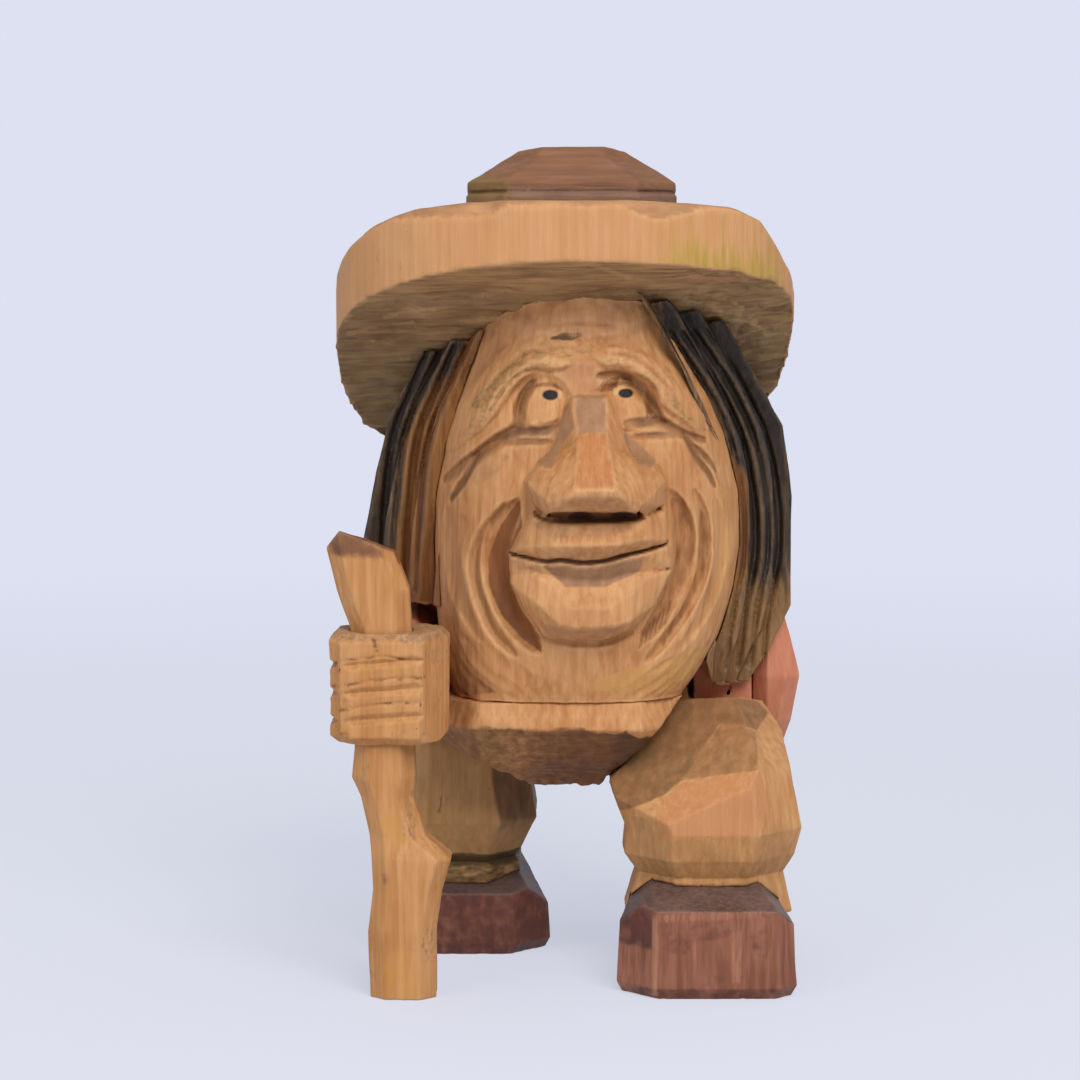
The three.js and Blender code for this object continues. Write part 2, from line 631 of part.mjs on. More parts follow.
/** A curved sheet over an outline, between two height functions. */
function sheet(outline, under, over, rings = 6) {
  const middle = outline.reduce((sum, p) => sum.add(p), new THREE.Vector2());
  middle.divideScalar(outline.length);
  const count = outline.length;
  const points = [];
  const triangles = [];
  for (const height of [under, over]) {
    points.push(point(middle.x, middle.y, height(middle.x, middle.y)));
    for (let ring = 1; ring <= rings; ring += 1) {
      for (const edge of outline) {
        const p = middle.clone().lerp(edge, ring / rings);
        points.push(point(p.x, p.y, height(p.x, p.y)));
      }
    }
  }
  const top = points.length / 2;
  const spot = (ring, i) => 1 + (ring - 1) * count + (i % count);
  for (let i = 0; i < count; i += 1) {
    triangles.push([0, spot(1, i + 1), spot(1, i)]);
    triangles.push([top, top + spot(1, i), top + spot(1, i + 1)]);
    for (let ring = 1; ring < rings; ring += 1) {
      const quad = [spot(ring, i), spot(ring, i + 1), spot(ring + 1, i + 1), spot(ring + 1, i)];
      const [a, b, c, d] = quad;
      triangles.push([a, b, c], [a, c, d]);
      triangles.push([top + a, top + c, top + b], [top + a, top + d, top + c]);
    }
    const [e, f] = [spot(rings, i), spot(rings, i + 1)];
    triangles.push([e, f, top + f], [e, top + f, top + e]);
  }
  return meshSolid(points, triangles);
}

const brimMiddle = (x, y) => (brimUnder(x, y) + brimOver(x, y)) / 2;
const everythingUp = () => CROWN_TOP_Z + OVERRUN;
const everythingDown = () => -OVERRUN;

/** Everything from just under the brim upward, to trim the blocks that the hat sits on. */
const hatSpace = () =>
  sheet(brimOutline(OVERRUN), (x, y) => brimUnder(x, y) - GLUE_GAP, everythingUp);

/** Everything from just over the brim downward, to seat the crown. */
const underCrown = () =>
  sheet(brimOutline(OVERRUN), everythingDown, (x, y) => brimOver(x, y) + GLUE_GAP);

/** The crown: an eight-sided block that falls to the back, with sloping shoulders and a band groove. */
function hatCrown() {
  const front = CROWN_Y - CROWN_TOP_HALF;
  const tilt = (p) => p.setZ(p.z - CROWN_BACK_TILT * Math.max(p.y - front, 0));
  const level = (z, halfX, halfY, corner) =>
    octagon(CROWN_X, CROWN_Y, z, halfX, halfY, corner).map(tilt);
  const width = CROWN_HALF_WIDTH;
  const depth = CROWN_HALF_DEPTH;
  const groove = BAND_GROOVE;
  return loft([
    level(BRIM_BACK_Z, width, depth, CROWN_CORNER),
    level(BAND_Z - groove, width, depth, CROWN_CORNER),
    level(BAND_Z, width - groove, depth - groove, CROWN_CORNER),
    level(BAND_Z + groove * 0.6, width - groove * 0.3, depth - groove * 0.6, CROWN_CORNER),
    level(CROWN_SHOULDER_Z, width - groove * 0.4, depth - groove, CROWN_CORNER),
    level(
      CROWN_TOP_Z - CROWN_EDGE_DROP,
      CROWN_TOP_HALF + CROWN_EDGE_WIDTH,
      CROWN_TOP_HALF + CROWN_EDGE_DEPTH,
      CROWN_CORNER
    ),
    level(CROWN_TOP_Z, CROWN_TOP_HALF, CROWN_TOP_HALF, CROWN_CORNER * 0.6),
  ]).subtract(underCrown());
}

/** A side lock: a slab whose front face runs from the edge of the face out to the silhouette. */
function sideLock(rows) {
  return loft(
    rows.map(({ up, inner, face, outer, side }) => [
      point(inner, face, HEAD_BASE_Z + up),
      point(outer, side, HEAD_BASE_Z + up),
      point(outer, BACK_SEAT_Y, HEAD_BASE_Z + up),
      point(inner, BACK_SEAT_Y, HEAD_BASE_Z + up),
    ])
  );
}

/** One strand groove down a side lock; the place function gives its station on a row of the lock. */
function strand(rows, place) {
  const low = rows[0].up;
  const high = rows[rows.length - 1].up;
  const steps = 8;
  const stations = [];
  for (let i = 0; i <= steps; i += 1) {
    stations.push(place(rowAt(rows, "up", THREE.MathUtils.lerp(high, low, i / steps))));
  }
  return gouge(stations, STRAND_WIDTH, STRAND_DEPTH, 0.8);
}

/** Strand grooves down the front and the outer side of a side lock. */
function sideStrands(rows) {
  const cuts = [];
  const { lerp } = THREE.MathUtils;
  const turn = Math.sign(rows[0].outer - rows[0].inner);
  for (let n = 0; n < SIDE_STRANDS; n += 1) {
    const share = (n + 0.6) / SIDE_STRANDS;
    cuts.push(
      strand(rows, ({ up, inner, face, outer, side }) => ({
        at: point(lerp(inner, outer, share), lerp(face, side, share), HEAD_BASE_Z + up),
        out: point((side - face) * turn, -Math.abs(outer - inner), 0).normalize(),
      }))
    );
  }
  for (let n = 1; n <= OUTER_STRANDS; n += 1) {
    const share = n / (OUTER_STRANDS + 1);
    cuts.push(
      strand(rows, ({ up, outer, side }) => ({
        at: point(outer, lerp(side, BACK_SEAT_Y, share), HEAD_BASE_Z + up),
        out: point(turn, 0, 0),
      }))
    );
  }
  return cuts;
}

/** The slab of hair behind the head, with strands from the hat down and tips cut to points. */
function hairBack() {
  const levels = [
    [HAIR_BACK_LOW_Z, 1, 0.94],
    [HAIR_BACK_LOW_Z + 14, 1, 1],
    [BRIM_BACK_Z + 14, 0.92, 0.95],
    [BRIM_FRONT_Z, 0.7, 0.7],
  ];
  const rings = levels.map(([z, wide, deep]) => {
    const half = HAIR_BACK_HALF * wide;
    const reach = (HAIR_BACK_Y - BACK_SEAT_Y) * deep;
    const seat = BACK_SEAT_Y + GLUE_GAP;
    return [
      point(HEAD_X - half, seat, z),
      point(HEAD_X + half, seat, z),
      point(HEAD_X + half, seat + reach * 0.5, z),
      point(HEAD_X + half * 0.6, BACK_SEAT_Y + reach, z),
      point(HEAD_X - half * 0.6, BACK_SEAT_Y + reach, z),
      point(HEAD_X - half, seat + reach * 0.5, z),
    ];
  });
  let hair = loft(rings);
  for (let n = 0; n < BACK_STRANDS; n += 1) {
    const dx = HAIR_BACK_HALF * 0.56 * ((2 * n) / (BACK_STRANDS - 1) - 1);
    const stations = [];
    for (const [z, wide, deep] of levels.slice(0, 3)) {
      const reach = (HAIR_BACK_Y - BACK_SEAT_Y) * deep;
      stations.push({ at: point(HEAD_X + dx * wide, BACK_SEAT_Y + reach, z), out: point(0, 1, 0) });
    }
    hair = hair.subtract(gouge(stations, STRAND_WIDTH, STRAND_DEPTH, 0.9));
  }
  return hair.subtract(hatSpace());
}

/** A plane across the crease between hips and leg, from an inner to an outer place in the front view. */
function crease(inner, outer, lift) {
  const along = point(outer[0] - inner[0], 0, outer[1] - inner[1]);
  const up = point(-along.z, 0, along.x);
  if (up.z < 0) up.negate();
  up.normalize();
  return { at: point(inner[0], 0, inner[1]).addScaledVector(up, lift), up };
}

/** The hips: a bowl under the head with a flat belly band in front, trimmed where the legs start. */
function hips() {
  const x = (HIPS_LEFT_X + HIPS_RIGHT_X) / 2;
  const half = (HIPS_LEFT_X - HIPS_RIGHT_X) / 2;
  const y = (BELLY_Y + HIPS_BACK_Y) / 2;
  const deep = (HIPS_BACK_Y - BELLY_Y) / 2;
  const top = HEAD_BASE_Z - GLUE_GAP;
  const right = crease(HIP_RIGHT_INNER, HIP_RIGHT_OUTER, GLUE_GAP);
  const left = crease(HIP_LEFT_INNER, HIP_LEFT_OUTER, GLUE_GAP);
  const blank = loft([
    octagon(0, y + 4, HIPS_LOW_Z, CROTCH_HALF_WIDTH + 8, deep * 0.62, 8),
    octagon(x, y + 2, (HIPS_LOW_Z + BELLY_BAND_Z) / 2, half * 0.94, deep * 0.86, 10),
    octagon(x, y, BELLY_BAND_Z, half, deep, 10),
    octagon(x, y + 0.6, top, half - 1, deep - 0.6, 10),
  ]);
  const legSpace = knife(
    block(point(-CROTCH_HALF_WIDTH, BELLY_Y - OVERRUN, 0), point(60, JACKET_FRONT_Y, 80)),
    left.at,
    left.up.clone().negate()
  );
  return knife(blank, right.at, right.up).subtract(legSpace);
}

/** A trouser leg: an eight-sided blank, cut off at the hip crease and hollowed over the shoe. */
function leg(rows, inner, outer, shoeSpace) {
  const top = crease(inner, outer, 0);
  const rings = rows.map(({ z, x, half, front, back, corner }) =>
    octagon(x, (front + back) / 2, z, half, (back - front) / 2, corner)
  );
  return knife(loft(rings), top.at, top.up.clone().negate()).subtract(shoeSpace);
}

/** Takes off the wood above a flat cut through three places. */
function flatCut(solid, places) {
  const [a, b, c] = places.map((place) => point(...place));
  const down = b.clone().sub(a).cross(c.clone().sub(a));
  if (down.z > 0) down.negate();
  return knife(solid, a, down);
}

/** One level of a shoe: broad at the toe, narrow at the heel, corners cut off, the inner toe corner most. */
function shoeRing({ x, toe, inner }, z, grow) {
  const half = SHOE_WIDTH / 2 + grow;
  const heel = HEEL_WIDTH / 2 + grow;
  const front = toe - grow;
  const back = toe + SHOE_LENGTH + grow;
  const side = (turn) => {
    const corner = turn === inner ? SHOE_INNER_CORNER : SHOE_OUTER_CORNER;
    return [
      [turn * (half - corner), front],
      [turn * half, front + corner],
      [turn * heel, back - HEEL_CORNER],
      [turn * (heel - HEEL_CORNER), back],
    ];
  };
  return [...side(1), ...side(-1).reverse()].map(([dx, y]) => point(x + dx, y, z));
}

/** A shoe, let out by a clearance: a block with cut corners, sloped toe and a roof-shaped instep. */
function shoe(place, grow) {
  const { x, toe, height } = place;
  const half = SHOE_WIDTH / 2 + grow;
  const y = toe + SHOE_LENGTH / 2;
  const top = height + grow;
  const blank = loft([
    shoeRing(place, -grow, grow - SOLE_BEVEL * 0.5),
    shoeRing(place, SOLE_BEVEL, grow),
    shoeRing(place, top, grow - SOLE_BEVEL * 0.4),
  ]);
  const toeTop = point(x, toe - grow, top - SHOE_TOE_DROP);
  const shaped = knife(blank, toeTop, point(0, SHOE_TOE_DROP, -TOE_SLOPE_LENGTH));
  return [-1, 1].reduce((solid, side) => {
    const edge = point(x + side * INSTEP_HALF, y, top);
    return knife(solid, edge, point(-side * SHOE_SIDE_DROP, 0, INSTEP_HALF - half));
  }, shaped);
}

/** The crooked staff, let out by a clearance, with two slanting cuts across its top. */
function staff(grow) {
  const rings = STAFF_ROWS.map(({ z, x, half, deep }) =>
    octagon(x, STAFF_Y, z, half + grow, deep + grow, STAFF_CORNER)
  );
  const peak = point(STAFF_PEAK_X, STAFF_Y, STAFF_PEAK_Z + grow);
  const slanted = knife(loft(rings), peak, point(-STAFF_TOP_SLOPE, -0.1, -1));
  return knife(slanted, peak, point(STAFF_TIP_SLOPE, 0, -1));
}

/** The fist: a block with cut corners, finger grooves round two sides, and the staff's hole. */
function fist() {
  const x = (FIST_LEFT_X + FIST_RIGHT_X) / 2;
  const y = (FIST_FRONT_Y + FIST_BACK_Y) / 2;
  const half = (FIST_LEFT_X - FIST_RIGHT_X) / 2;
  const deep = (FIST_BACK_Y - FIST_FRONT_Y) / 2;
  const edge = FIST_CORNER * 0.4;
  let hand = loft([
    octagon(x, y, FIST_LOW_Z, half - edge, deep - edge, FIST_CORNER),
    octagon(x, y, FIST_LOW_Z + edge, half, deep, FIST_CORNER),
    octagon(x, y, FIST_TOP_Z - edge, half, deep, FIST_CORNER),
    octagon(x, y, FIST_TOP_Z, half - edge, deep - edge, FIST_CORNER),
  ]);
  const knuckles = point(FIST_LEFT_X - KNUCKLE_CUT_WIDTH, FIST_FRONT_Y, FIST_TOP_Z);
  hand = knife(hand, knuckles, point(-KNUCKLE_CUT_DEPTH, KNUCKLE_CUT_WIDTH, 0));
  for (let n = 1; n <= FINGER_GROOVES; n += 1) {
    const z = THREE.MathUtils.lerp(FIST_LOW_Z, FIST_TOP_Z, n / (FINGER_GROOVES + 1));
    const front = [0.72, 0.3, -0.3, -1].map((share) => ({
      at: point(x + share * half, FIST_FRONT_Y, z + share * 0.8),
      out: point(0, -1, 0),
    }));
    const outer = [-1, 0, 0.8].map((share) => ({
      at: point(FIST_RIGHT_X, y + share * deep, z - 0.8),
      out: point(-1, 0, 0),
    }));
    hand = hand.subtract(gouge(front, FINGER_GROOVE_WIDTH, FINGER_GROOVE_DEPTH, 0.9));
    hand = hand.subtract(gouge(outer, FINGER_GROOVE_WIDTH, FINGER_GROOVE_DEPTH, 0.9));
  }
  return hand.subtract(staff(GLUE_GAP));
}

/** The right sleeve: from the jacket's front forward to the fist. */
function sleeveRight() {
  const rings = [
    [FIST_BACK_Y + GLUE_GAP, SLEEVE_CUFF_HALF, SLEEVE_RIGHT_Z - 0.5],
    [FIST_BACK_Y + 6, SLEEVE_CUFF_HALF + 1, SLEEVE_RIGHT_Z - 0.5],
    [(FIST_BACK_Y + BACK_SEAT_Y) / 2, SLEEVE_RIGHT_HALF, SLEEVE_RIGHT_Z - 1],
    [BACK_SEAT_Y, SLEEVE_RIGHT_HALF, SLEEVE_RIGHT_Z],
  ].map(([y, half, z]) =>
    octagon(SLEEVE_RIGHT_X, z, 0, half, half, half * 0.5).map((p) => point(p.x, y, p.y))
  );
  const hipSpace = block(
    point(HIPS_RIGHT_X - GLUE_GAP, BELLY_Y - OVERRUN, 0),
    point(HIPS_LEFT_X, HIPS_BACK_Y + OVERRUN, HEAD_BASE_Z)
  );
  return loft(rings).subtract(headBlank(GLUE_GAP)).subtract(hipSpace);
}

/** The left sleeve: an arm bent at the elbow, close against the jacket's side. */
function sleeveLeft() {
  const inner = JACKET_LEFT_X + GLUE_GAP;
  const y = (JACKET_FRONT_Y + SLEEVE_LEFT_BACK_Y) / 2;
  const deep = (SLEEVE_LEFT_BACK_Y - JACKET_FRONT_Y) / 2;
  const rings = [
    [SLEEVE_LEFT_LOW_Z, 0.62, 0.6],
    [SLEEVE_LEFT_LOW_Z + 6, 0.84, 0.85],
    [ELBOW_Z, 1, 1],
    [ELBOW_Z + 7, 0.8, 0.95],
    [JACKET_TOP_Z, 0.62, 0.75],
  ].map(([z, wide, far]) => {
    const reach = (SLEEVE_LEFT_X - inner) * wide;
    return octagon(inner + reach / 2, y, z, reach / 2, deep * far, 2.6);
  });
  return loft(rings);
}

/** One level of the jacket's back: flat in front, with big cut corners behind. */
function jacketRing(z, front, back, share) {
  const left = JACKET_LEFT_X * share;
  const right = JACKET_RIGHT_X * share;
  const bend = Math.min(JACKET_CORNER, (back - front) * 0.8);
  const ring = [
    [left, front],
    [left, back - bend],
    [left - JACKET_CORNER, back],
    [right + JACKET_CORNER, back],
    [right, back - bend],
    [right, front],
  ];
  return ring.map(([x, y]) => point(x, y, z));
}

/** The jacket: the back above the hips, a tail over the seat and the panel at the left hip. */
function jacket() {
  const seat = BACK_SEAT_Y + GLUE_GAP;
  const floor = HEAD_BASE_Z;
  const tail = HIPS_BACK_Y + GLUE_GAP;
  const back = loft([
    jacketRing(floor - 8, seat, JACKET_BACK_Y, 1),
    jacketRing(floor + 4, seat, JACKET_BACK_Y, 1),
    jacketRing(JACKET_TOP_Z, seat, JACKET_NECK_Y, 0.95),
  ]);
  const skirt = loft([
    jacketRing(JACKET_LOW_Z, tail, JACKET_BACK_Y - 1.5, JACKET_HEM_SHARE),
    jacketRing(floor, tail - 2, JACKET_BACK_Y, 0.96),
  ]);
  const panel = hull([
    ...[JACKET_FRONT_Y, BACK_SEAT_Y + 4].flatMap((y) => [
      point(HIPS_LEFT_X + GLUE_GAP, y, SLEEVE_LEFT_LOW_Z + 8),
      point(JACKET_LEFT_X, y, SLEEVE_LEFT_LOW_Z + 8),
      point(HIPS_LEFT_X + GLUE_GAP, y, JACKET_TOP_Z - 3),
      point(JACKET_LEFT_X, y, JACKET_TOP_Z),
    ]),
  ]);
  const hipSpace = block(
    point(HIPS_RIGHT_X - GLUE_GAP, BELLY_Y, 0),
    point(HIPS_LEFT_X + GLUE_GAP, tail, floor)
  );
  const seam = crease(HIP_RIGHT_INNER, HIP_RIGHT_OUTER, GLUE_GAP);
  const cloth = back.add(skirt).add(panel).subtract(headBlank(GLUE_GAP)).subtract(hipSpace);
  return knife(cloth, seam.at, seam.up);
}

/** The finished head: blank, flat back, nose, mouth, folds and eyes. */
function head() {
  let solid = headBlank(0);
  for (const side of [-1, 1]) {
    for (const ring of [0, 1, 2]) solid = solid.subtract(smileFold(side, ring));
    solid = eye(solid, side);
  }
  solid = solid.add(nose()).add(mouth());
  return knife(solid, point(0, BACK_SEAT_Y, 0), point(0, -1, 0)).subtract(hatSpace());
}

/** A side lock fitted round the head, under the hat and in front of jacket and sleeve. */
function hairSide(rows) {
  const shoulder = block(
    point(HIPS_LEFT_X, JACKET_FRONT_Y - GLUE_GAP, 0),
    point(SLEEVE_LEFT_X + OVERRUN, BACK_SEAT_Y + OVERRUN, JACKET_TOP_Z + GLUE_GAP)
  );
  const strands = sideStrands(rows);
  const cuts = [headBlank(GLUE_GAP), hatSpace(), shoulder, ...strands];
  return cuts.reduce((solid, cut) => solid.subtract(cut), sideLock(rows));
}

/** A round peg between two points, let out by a clearance at its side and both ends. */
function peg(from, to, grow) {
  const along = to.clone().sub(from);
  const rod = new THREE.CylinderGeometry(
    DOWEL_RADIUS + grow, DOWEL_RADIUS + grow, along.length() + 2 * grow, DOWEL_SIDES
  );
  const turn = new THREE.Quaternion().setFromUnitVectors(point(0, 1, 0), along.clone().normalize());
  const middle = from.clone().add(to).multiplyScalar(0.5);
  rod.applyQuaternion(turn).translate(middle.x, middle.y, middle.z);
  return solidOf(rod);
}

/** Both ends of a dowel that is centred on a place and runs along a direction. */
function span(at, along, length) {
  const reach = along.clone().normalize().multiplyScalar(length / 2);
  return [at.clone().sub(reach), at.clone().add(reach)];
}

const up = point(0, 0, 1);
const fore = point(0, 1, 0);
const sideways = point(1, 0, 0);
const leftHip = crease(HIP_LEFT_INNER, HIP_LEFT_OUTER, 0);
const rightHip = crease(HIP_RIGHT_INNER, HIP_RIGHT_OUTER, 0);
const midway = (a, b) => (a + b) / 2;

/** A place on a hip crease, a share of the way from its inner to its outer end. */
function hipPlace(inner, outer, share, y) {
  const x = THREE.MathUtils.lerp(inner[0], outer[0], share);
  return point(x, y, THREE.MathUtils.lerp(inner[1], outer[1], share));
}

const solids = {
  hat_crown: hatCrown(),
  hat_brim: sheet(brimOutline(0), brimUnder, brimOver),
  head: head(),
  hair_right: hairSide(HAIR_RIGHT_ROWS),
  hair_left: hairSide(HAIR_LEFT_ROWS),
  hair_back: hairBack(),
  hips: hips(),
  jacket: jacket(),
  sleeve_right: sleeveRight(),
  sleeve_left: sleeveLeft(),
  fist_right: fist(),
  staff: staff(0),
  leg_left: [THIGH_TOP_CUT, KNEE_CUT, THIGH_SIDE_CUT, THIGH_BACK_CUT].reduce(
    flatCut,
    leg(LEG_LEFT_ROWS, HIP_LEFT_INNER, HIP_LEFT_OUTER, shoe(SHOE_LEFT, GLUE_GAP))
  ),
  leg_right: leg(LEG_RIGHT_ROWS, HIP_RIGHT_INNER, HIP_RIGHT_OUTER, shoe(SHOE_RIGHT, GLUE_GAP)),
  shoe_left: shoe(SHOE_LEFT, 0),
  shoe_right: shoe(SHOE_RIGHT, 0),
};

// Every dowel is named for the joint that it holds, with the blocks that it runs through.
const dowels = {
  dowel_hat: {
    ends: span(point(CROWN_X, CROWN_Y, brimMiddle(CROWN_X, CROWN_Y)), up, HAT_DOWEL_LENGTH),
    blocks: ["hat_crown", "hat_brim", "head"],
  },
  dowel_neck: {
    ends: span(point(HEAD_X - 3, 0, HEAD_BASE_Z), up, NECK_DOWEL_LENGTH),
    blocks: ["head", "hips"],
  },
  dowel_hip_left: {
    ends: span(hipPlace(HIP_LEFT_INNER, HIP_LEFT_OUTER, 0.4, -8), leftHip.up, HIP_DOWEL_LENGTH),
    blocks: ["hips", "leg_left"],
  },
  dowel_hip_right: {
    ends: span(hipPlace(HIP_RIGHT_INNER, HIP_RIGHT_OUTER, 0.5, 12), rightHip.up, HIP_DOWEL_LENGTH),
    blocks: ["hips", "leg_right"],
  },
  dowel_ankle_left: {
    ends: span(point(SHOE_LEFT.x, -14, SHOE_LEFT.height), up, ANKLE_DOWEL_LENGTH),
    blocks: ["shoe_left", "leg_left"],
  },
  dowel_ankle_right: {
    ends: span(point(SHOE_RIGHT.x, 18, SHOE_RIGHT.height), up, ANKLE_DOWEL_LENGTH),
    blocks: ["shoe_right", "leg_right"],
  },
  dowel_wrist: {
    ends: span(point(SLEEVE_RIGHT_X, FIST_BACK_Y + 2.5, SLEEVE_RIGHT_Z), fore, WRIST_DOWEL_LENGTH),
    blocks: ["fist_right", "sleeve_right"],
  },
  dowel_shoulder_right: {
    ends: span(point(SLEEVE_RIGHT_X + 2, BACK_SEAT_Y, SLEEVE_RIGHT_Z), fore, BACK_DOWEL_LENGTH),
    blocks: ["sleeve_right", "jacket"],
  },
  dowel_shoulder_left: {
    ends: span(
      point(JACKET_LEFT_X, midway(JACKET_FRONT_Y, SLEEVE_LEFT_BACK_Y), ELBOW_Z),
      sideways,
      ELBOW_DOWEL_LENGTH
    ),
    blocks: ["sleeve_left", "jacket"],
  },
  dowel_back: {
    ends: span(point(HEAD_X, BACK_SEAT_Y, HEAD_BASE_Z + 7), fore, BACK_DOWEL_LENGTH),
    blocks: ["head", "jacket"],
  },
  dowel_hair: {
    ends: span(point(HEAD_X, BACK_SEAT_Y, HAIR_BACK_LOW_Z + 14), fore, BACK_DOWEL_LENGTH),
    blocks: ["head", "hair_back"],
  },
};

for (const [name, { ends, blocks }] of Object.entries(dowels)) {
  const socket = peg(...ends, DOWEL_CLEARANCE);
  for (const wood of blocks) solids[wood] = solids[wood].subtract(socket);
  solids[name] = peg(...ends, 0);
}

// Finish of each group of blocks, and the pieces that carry it.
const finishes = [
  { colour: HAT_WOOD, roughness: 0.62, pieces: ["hat_crown"] },
  { colour: BARE_WOOD, roughness: 0.58, pieces: ["hat_brim", "fist_right", "staff"] },
  { colour: FACE_WOOD, roughness: 0.52, pieces: ["head", "hips"] },
  { colour: HAIR_BLACK, roughness: 0.6, pieces: ["hair_right", "hair_left", "hair_back"] },
  { colour: JACKET_RED, roughness: 0.6, pieces: ["jacket", "sleeve_right", "sleeve_left"] },
  { colour: TROUSER_OLIVE, roughness: 0.58, pieces: ["leg_left", "leg_right"] },
  { colour: SHOE_RED, roughness: 0.5, pieces: ["shoe_left", "shoe_right"] },
  { colour: DOWEL_WOOD, roughness: 0.7, pieces: Object.keys(dowels) },
];

const figure = new THREE.Group();
figure.name = "carved_troll";
for (const { colour, roughness, pieces } of finishes) {
  for (const name of pieces) {
    const material = new THREE.MeshStandardMaterial({ color: colour, roughness, metalness: 0 });
    const mesh = new THREE.Mesh(geometryOf(solids[name]), material);
    mesh.name = name;
    figure.add(mesh);
  }
}

// The figure stands with the middle of its outline over the origin.
const outline = new THREE.Box3().setFromObject(figure);
const centre = outline.getCenter(new THREE.Vector3());
figure.position.set(-centre.x, -centre.y, -outline.min.z);

export default figure;
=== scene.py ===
"""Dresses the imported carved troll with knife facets, gouge cuts, wood grain and thin worn washes.

Each visible CAD block is copied into a fine mesh. Only the head is drawn anew, on an even mesh over the same egg. The
meshes are cut the way a carver cuts, masked where the washes lie and given a wood finish. The blocks stay where the
CAD puts them. The head and the legs only reach a little further, to close the glue gaps at the hat, hips and shoes.
"""

import logging
import math
from dataclasses import dataclass
from enum import Enum
from functools import cache
from typing import Any

import bmesh
import bpy
import numpy as np
from mathutils.bvhtree import BVHTree
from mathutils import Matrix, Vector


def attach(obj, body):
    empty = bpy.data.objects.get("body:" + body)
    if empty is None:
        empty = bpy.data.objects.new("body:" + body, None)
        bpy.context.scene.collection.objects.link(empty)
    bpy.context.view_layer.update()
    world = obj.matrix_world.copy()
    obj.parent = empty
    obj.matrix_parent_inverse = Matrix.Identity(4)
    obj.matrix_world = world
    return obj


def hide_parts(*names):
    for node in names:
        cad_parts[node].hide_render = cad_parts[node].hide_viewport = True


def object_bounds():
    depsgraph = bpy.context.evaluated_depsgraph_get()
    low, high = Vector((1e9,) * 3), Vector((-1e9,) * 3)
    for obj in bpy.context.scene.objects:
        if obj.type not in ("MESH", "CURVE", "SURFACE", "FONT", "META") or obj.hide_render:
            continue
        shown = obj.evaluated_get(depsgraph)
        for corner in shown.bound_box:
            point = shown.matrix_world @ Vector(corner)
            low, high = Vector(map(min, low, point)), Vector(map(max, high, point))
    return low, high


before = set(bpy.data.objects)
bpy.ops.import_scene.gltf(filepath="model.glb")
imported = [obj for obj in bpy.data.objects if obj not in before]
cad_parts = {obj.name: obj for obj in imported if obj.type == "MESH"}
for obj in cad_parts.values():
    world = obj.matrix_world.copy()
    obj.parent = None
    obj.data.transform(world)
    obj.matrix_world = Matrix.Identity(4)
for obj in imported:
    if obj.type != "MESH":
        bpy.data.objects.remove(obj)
CAD_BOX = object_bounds()

LOG = logging.getLogger("carved_troll")
MM = 0.001
BODY = "root"
TINY = 1e-6
LATTICE = 32
PATH_STEPS = 5

# How CAD triangles are split: rounds, slivers taken out and the box's margin in millimetres, edge angles in radians
SPLIT_ROUNDS = 9
BEAUTY_ROUNDS = 4
SLIVER = 0.03
LAST_SLIVER = 3 * SLIVER
BOX_MARGIN = 0.02
FLAT_ANGLE = 0.01
CREASE = 0.5

# How marks follow the surface: facing where strokes and washes fade, a chip's reach in millimetres and its steep end
STROKE_FACING = (0.05, 0.3)
TINT_FACING = (0.0, 0.2)
# How fast a stroke's cut takes its dirt and painted shade
STROKE_SHADE_AND_DIRT = 1.6
CHIP_REACH = 2.5
CHIP_END = 6.0
RELAX_STEP = 0.6
FAR_IN_FRONT = -90.0

# How edges wear and how hollows darken with dirt and painted shade, by the surface's bend in 1/mm
BEND_LIMIT = 0.6
BROAD_ROUNDS = 8
WEAR_GAIN, WEAR_START = 2.2, 0.12
FINE_GAIN, BROAD_GAIN, HOLLOW_START = 1.6, 3.0, 0.05

Array = np.ndarray
Socket = bpy.types.NodeSocket
Place = tuple[float, float]
Triple = tuple[float, float, float]

X_AXIS = np.array([1.0, 0.0, 0.0])
Z_AXIS = np.array([0.0, 0.0, 1.0])


def coarser() -> float:
    return 1.0


def linear(code: str) -> tuple[float, float, float, float]:
    """Turns an sRGB hex value into linear colour.

    Args:
        code: the colour as #RRGGBB.

    Returns:
        Linear red, green, blue and an alpha of one.
    """
    shares = [int(code[k:k + 2], 16) / 255 for k in (1, 3, 5)]
    red, green, blue = [s / 12.92 if s <= 0.04045 else ((s + 0.055) / 1.055) ** 2.4 for s in shares]
    return red, green, blue, 1.0


def ease(low: float, high: float, value: Array) -> Array:
    """Eases a value from 0 at low to 1 at high.

    Args:
        low: the value that gives 0.
        high: the value that gives 1, below low for a falling ease.
        value: the values to ease.

    Returns:
        Shares between 0 and 1.
    """
    share = np.clip((value - low) / (high - low), 0.0, 1.0)
    return share * share * (3.0 - 2.0 * share)


def level(places: tuple[Place, ...], at: Array) -> Array:
    """Reads a line drawn through places, at the given positions.

    Args:
        places: (position, height) pairs with rising positions.
        at: the positions.

    Returns:
        The line's height at each position.
    """
    table = np.array(places)
    return np.interp(at, table[:, 0], table[:, 1])


def speckle(points: Array, size: Triple, seed: int) -> Array:
    """Gives smooth random values over points.

    Args:
        points: places in millimetres.
        size: the millimetres over which the values change along x, y and z.
        seed: the seed of the draw.

    Returns:
        One value between -1 and 1 for each point.
    """
    table = np.random.default_rng(seed).uniform(-1.0, 1.0, (LATTICE,) * 3)
    place = points / np.array(size)
    cell = np.floor(place).astype(int)
    share = ease(0.0, 1.0, place - cell)
    total = np.zeros(len(points))
    for corner in np.ndindex(2, 2, 2):
        weight = np.prod(np.where(corner, share, 1.0 - share), axis=1)
        spot = (cell + corner) % LATTICE
        total += weight * table[spot[:, 0], spot[:, 1], spot[:, 2]]
    return total


